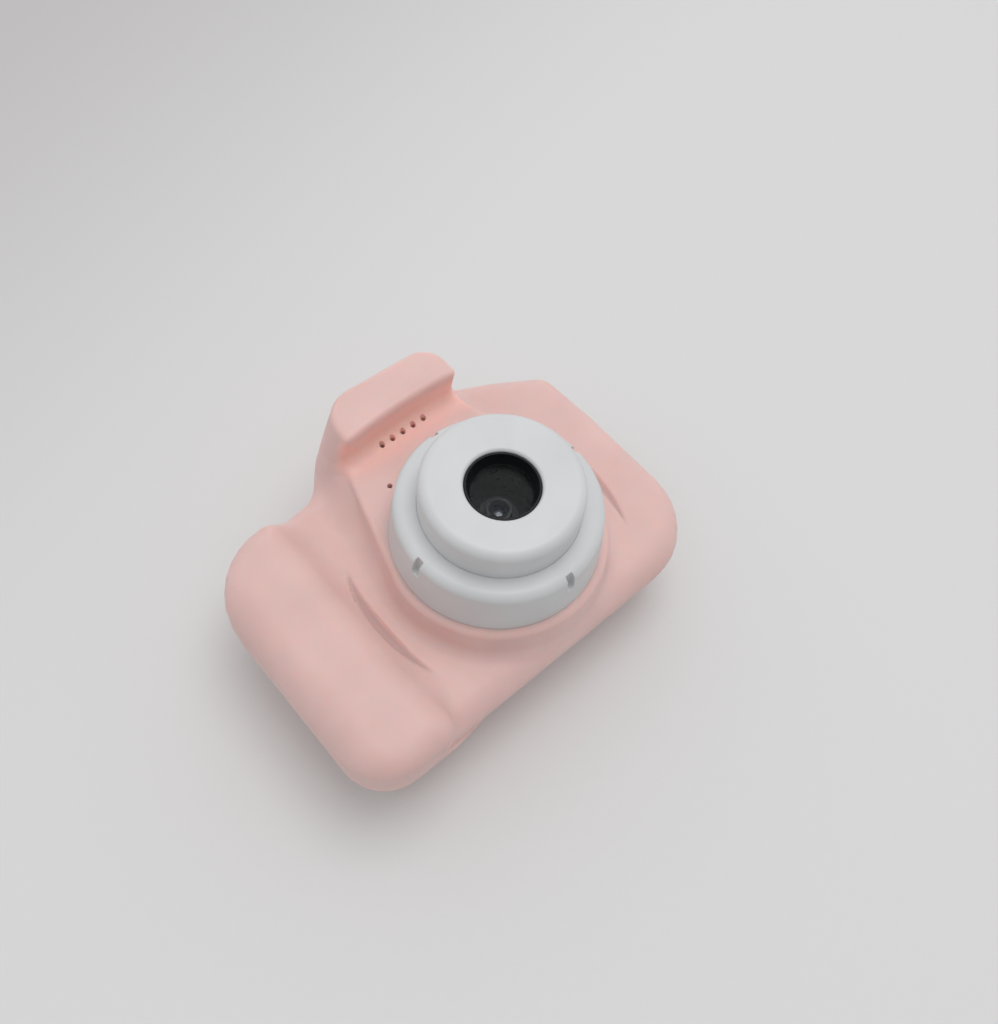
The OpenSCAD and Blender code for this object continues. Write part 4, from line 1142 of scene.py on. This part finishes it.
def make_button(button):
    r, place = BUTTONS[button], button_place(button)
    cap = lathe(f"{button}_cap", [
        (0, -CAP_FLANGE_IN - FLANGE_T, 0),
        (r + RIB_T, -CAP_FLANGE_IN - FLANGE_T, FINE_R),
        (r + RIB_T, -CAP_FLANGE_IN, FINE_R),
        (r, -CAP_FLANGE_IN, 0),
        (r, CAP_RISE, CAP_EDGE_R),
        (CAP_DISH_SHARES[0] * r, CAP_RISE, CAP_DISH_R),
        (CAP_DISH_SHARES[1] * r, CAP_RISE - CAP_DISH, CAP_DISH_R),
        (0, CAP_RISE - CAP_DISH, 0),
    ], CAP_STEPS, place)
    floor = CAP_RISE - CAP_DISH - MARK_DEPTH
    if button == "power":
        marks = [prism("tool", o, floor, CAP_RISE + OVER, place=place) for o in power_mark(r)]
        combine(cap, marks, "DIFFERENCE")
    finish_piece(cap, white, f"{button}_button", button)
    paint(cap, mark_grey, floor, place)


def plan_of(node, corner_r, grow=0):
    """Rectangle over the box of a CAD node, grown on every side."""
    low, high = span(node)
    return rectangle(*(low + high)[:2] / 2, *(high - low)[:2] + 2 * grow, corner_r)


def plate_over(node, name, corner_r, edge):
    """Plate in the box of a CAD node, with round corners and soft edges."""
    low, high = span(node)
    return prism(name, plan_of(node, corner_r), low[2], high[2], edge)


def make_screen():
    cover = plate_over("screen_cover", "screen_window", SCREEN_R, SCREEN_EDGE)
    finish_piece(cover, screen_black, "screen_cover")


def make_pads():
    for node, corner_r in PAD_CORNER_R.items():
        low, high = span(node)
        pad = plate_over(node, f"{node}_foam", corner_r, (high[2] - low[2]) / 3)
        finish_piece(pad, foam_grey, node)


# Lens


def notch_cut(turn):
    """Cut for a notch in the barrel's rim, widened toward the outside."""
    top, foot_r = span("lens_barrel")[1][2], span("lens_barrel")[1][0]
    sections = []
    for grow, depth in (
        (-NOTCH_INNER_R, NOTCH_R),
        (0, NOTCH_R + NOTCH_INNER_R),
        (0, BARREL_NECK_R),
        (NOTCH_FLARE, foot_r + OVER),
    ):
        half, bottom = NOTCH_W / 2 + grow, top - NOTCH_H - grow
        sections.append((rounded([
            (-half, bottom, NOTCH_ROUND * half),
            (half, bottom, NOTCH_ROUND * half),
            (half, top + OVER, 0),
            (-half, top + OVER, 0),
        ]), depth))
    return loft("tool", sections, Matrix.Rotation(turn, 4, "Z") @ STAND)


def make_barrel():
    low, high = span("lens_barrel")
    floor_z = low[2] + BARREL_FLOOR
    barrel = lathe("lens_barrel_body", [
        (EYE_HOLE_R, low[2], 0),
        (high[0], low[2], BARREL_FOOT_R),
        (BARREL_NECK_R, high[2], BARREL_EDGE_R),
        (BARREL_BORE_R, high[2], FINE_R),
        (BARREL_BORE_R, floor_z, 0),
        (EYE_HOLE_R, floor_z, 0),
    ])
    notches = [notch_cut(k * math.tau / NOTCH_COUNT) for k in range(NOTCH_COUNT)]
    combine(barrel, notches, "DIFFERENCE")
    finish_piece(barrel, white, "lens_barrel")


def make_ring():
    low, high = span("front_ring")
    r, rim_z = high[0], high[2] - RING_DISH
    ring = lathe("front_ring_body", [
        (r - RING_WALL, low[2], 0),
        (r, low[2], 0),
        (r, high[2], RING_EDGE_R),
        (EYE_R, rim_z, EYE_EDGE_R),
        (EYE_R, rim_z - RING_FACE_T, 0),
        (r - RING_WALL, rim_z - RING_FACE_T, 0),
    ])
    finish_piece(ring, white, "front_ring")


def make_bezel():
    low, high = span("lens_bezel")
    window = span("lens_window")[1]
    seat, mouth = window[0] + BEZEL_GAP, EYE_R - BEZEL_GAP
    flange_z = span("front_ring")[1][2] - RING_DISH - RING_FACE_T
    bezel = lathe("lens_bezel_cone", [
        (BEZEL_MOUTH_R, window[2], BEZEL_EDGE_R),
        (seat, window[2], 0),
        (seat, low[2], 0),
        (seat + BEZEL_WALL, low[2], FINE_R),
        (seat + BEZEL_WALL, flange_z - BEZEL_FLANGE_T, 0),
        (high[0], flange_z - BEZEL_FLANGE_T, 0),
        (high[0], flange_z, FINE_R),
        (mouth, flange_z, 0),
        (mouth, high[2], FINE_R),
        (mouth - BEZEL_LIP, high[2], FINE_R),
    ])
    finish_piece(bezel, bezel_black, "lens_bezel")
    # Painted highlight: faces round the mouth get the lighter grey, standing in for the edge
    # catching light
    bezel.data.materials.append(lip_highlight_grey)
    for face in bezel.data.polygons:
        x, y, z = (np.array(face.center) - LENS) / MM
        if math.hypot(x, y) < BEZEL_MOUTH_R + LIP_OUT and z < window[2] + LIP_UP:
            face.material_index = 1


def make_window():
    low, high = span("lens_window")
    window = lathe("lens_window_disc", [
        (0, low[2], 0),
        (high[0], low[2], WINDOW_EDGE_R),
        (high[0], high[2], WINDOW_EDGE_R),
        (0, high[2], 0),
    ])
    window.visible_shadow = False
    finish_piece(window, window_clear, "lens_window")


def make_cell():
    low, high = span("lens_cell")
    cup_z = high[2] - CELL_CUP
    cell = lathe("lens_cell_body", [
        (CELL_BORE_R, low[2], 0),
        (high[0], low[2], FINE_R),
        (high[0], high[2] - CELL_TOP_H, CELL_SHELF_R),
        (CELL_TOP_R, high[2] - CELL_TOP_H, FINE_R),
        (CELL_TOP_R, high[2], CELL_RIM_R),
        (CELL_EYE_R + CELL_CUP, high[2], FINE_R),
        (CELL_EYE_R, cup_z, CELL_EYE_EDGE_R),
        (CELL_EYE_R, cup_z - CELL_CUP, 0),
        (CELL_BORE_R, cup_z - CELL_CUP, 0),
    ])
    finish_piece(cell, cell_black, "lens_cell")
    low, high = span("lens_glass")
    shares = np.linspace(1, 0, GLASS_POINTS)
    crown = [(high[0] * t, high[2] - GLASS_SAG * t * t, 0) for t in shares]
    glass = lathe("lens_glass_body", [(0, low[2], 0), (high[0], low[2], 0)] + crown, KEY_STEPS)
    finish_piece(glass, coated, "lens_glass")


make_front_shell()
make_rear_shell()
make_barrel()
make_ring()
make_bezel()
make_window()
make_cell()
make_screen()
make_pads()
for key in KEYS:
    make_key(key)
for button in BUTTONS:
    make_button(button)


# Finishes of the CAD nodes that stay

CAD_FINISHES = [
    (holder_black, "lens_holder"),
    (board_green, "main_board sensor_board shutter_board power_board"),
    (chip_black, "image_sensor board_chips memory_card"),
    (ribbon_amber, "sensor_ribbon display_ribbon"),
    (steel, "sensor_screws barrel_screws case_screws"),
    (ivory, "ribbon_socket"),
    (wrap_silver, "battery"),
    (speaker_black, "speaker"),
    (tin, "microphone usb_socket card_socket display_frame"),
    (panel_grey, "display_panel"),
    (switch_grey, "key_switches shutter_switch power_switch"),
    (plunger_dark, " ".join(f"{name}_plunger" for name in [*KEYS, *BUTTONS])),
]
for made, nodes in CAD_FINISHES:
    for node in nodes.split():
        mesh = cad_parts[node].data
        mesh.materials.clear()
        mesh.materials.append(made)


# Floor, light and camera

FLOOR_GREY = (218, 217, 216)
# Painted shade: the floor turns darker grey toward the far left
FLOOR_SHADE_GREY = (192, 189, 189)
FLOOR_AWAY = (-0.25, 0.97, 0)
FLOOR_FAR = (30, 220)
FLOOR_HALF = 900
FLOOR_CORNER_R = 100
FLOOR_UNDER = -5
FLOOR_TOP = -0.02


def floor_pale():
    """Pale paper with painted shade that darkens it toward the far left."""
    made = moulded("floor_pale", FLOOR_GREY, 0.6, grain_mm=0.8)
    tree = made.node_tree
    away = vector_math(tree, "DOT_PRODUCT", coords(tree), FLOOR_AWAY)
    stops = [(0, FLOOR_GREY), (1, FLOOR_SHADE_GREY)]
    colour = colour_ramp(tree, ramp_up(tree, away, *FLOOR_FAR), stops)
    dress(tree, tree.nodes["Principled BSDF"], colour)
    return made


floor_outline = rectangle(0, 0, 2 * FLOOR_HALF, 2 * FLOOR_HALF, FLOOR_CORNER_R)
floor = prism("floor", floor_outline, FLOOR_UNDER, FLOOR_TOP)
floor.data.materials.append(floor_pale())


def direction(azimuth, elevation):
    """Unit vector toward a direction given in degrees."""
    a, e = math.radians(azimuth), math.radians(elevation)
    return np.array([math.cos(a) * math.cos(e), math.sin(a) * math.cos(e), math.sin(e)])


def area_light(name, size_mm, watts, azimuth, elevation, distance_mm):
    """Soft box that looks at the toy from a direction."""
    light = bpy.data.lights.new(name, "AREA")
    light.shape = "DISK"
    light.size = size_mm * MM
    light.energy = watts
    obj = linked(name, light)
    obj.location = direction(azimuth, elevation) * distance_mm * MM
    obj.rotation_euler = (math.radians(90 - elevation), 0, math.radians(azimuth + 90))


area_light("key_light", size_mm=550, watts=2.05, azimuth=5, elevation=80, distance_mm=900)

# The sky grows brighter toward one direction, beyond the toy as the photograph sees it
SKY_COLOUR = (252, 253, 255)
SKY_AZIMUTH = 60
SKY_ELEVATION = 40
SKY_STRENGTH = 0.62
SKY_SLOPE = 0.3

world = bpy.data.worlds.new("studio")
world.use_nodes = True
sky_tree = world.node_tree
background = sky_tree.nodes["Background"]
background.inputs["Color"].default_value = linear(SKY_COLOUR)
ray = sky_tree.nodes.new("ShaderNodeTexCoord").outputs["Generated"]
toward = vector_math(sky_tree, "DOT_PRODUCT", ray, direction(SKY_AZIMUTH, SKY_ELEVATION))
strength = math_node(sky_tree, "MULTIPLY_ADD", toward, SKY_SLOPE, SKY_STRENGTH)
sky_tree.links.new(strength, background.inputs["Strength"])
bpy.context.scene.world = world

PHOTO_AZIMUTH = -49.58
PHOTO_ELEVATION = 60.88
PHOTO_ROLL = math.radians(9.76)
PHOTO_EYE_MM = (-62.39, -63.96, 192.66)
PHOTO_FOCAL_PX = 1050
PHOTO_LONG_PX = 1024
SENSOR_MM = 36
CLIP_START_MM = 10


def photo_camera():
    """Camera at the photograph's place, with its roll about the line of sight."""
    back = direction(PHOTO_AZIMUTH - 90, PHOTO_ELEVATION)
    right = direction(PHOTO_AZIMUTH, 0)
    up = np.cross(back, right)
    rolled_right = math.cos(PHOTO_ROLL) * right + math.sin(PHOTO_ROLL) * up
    rolled_up = math.cos(PHOTO_ROLL) * up - math.sin(PHOTO_ROLL) * right
    camera = bpy.data.cameras.new("photo_camera")
    camera.sensor_width = SENSOR_MM
    camera.lens = SENSOR_MM * PHOTO_FOCAL_PX / PHOTO_LONG_PX
    camera.clip_start = CLIP_START_MM * MM
    turn = Matrix(np.array([rolled_right, rolled_up, back]).T.tolist()).to_4x4()
    obj = linked("photo_camera", camera)
    obj.matrix_world = Matrix.Translation(np.array(PHOTO_EYE_MM) * MM) @ turn
    bpy.context.scene.camera = obj


photo_camera()
bpy.context.scene.view_settings.view_transform = "Standard"
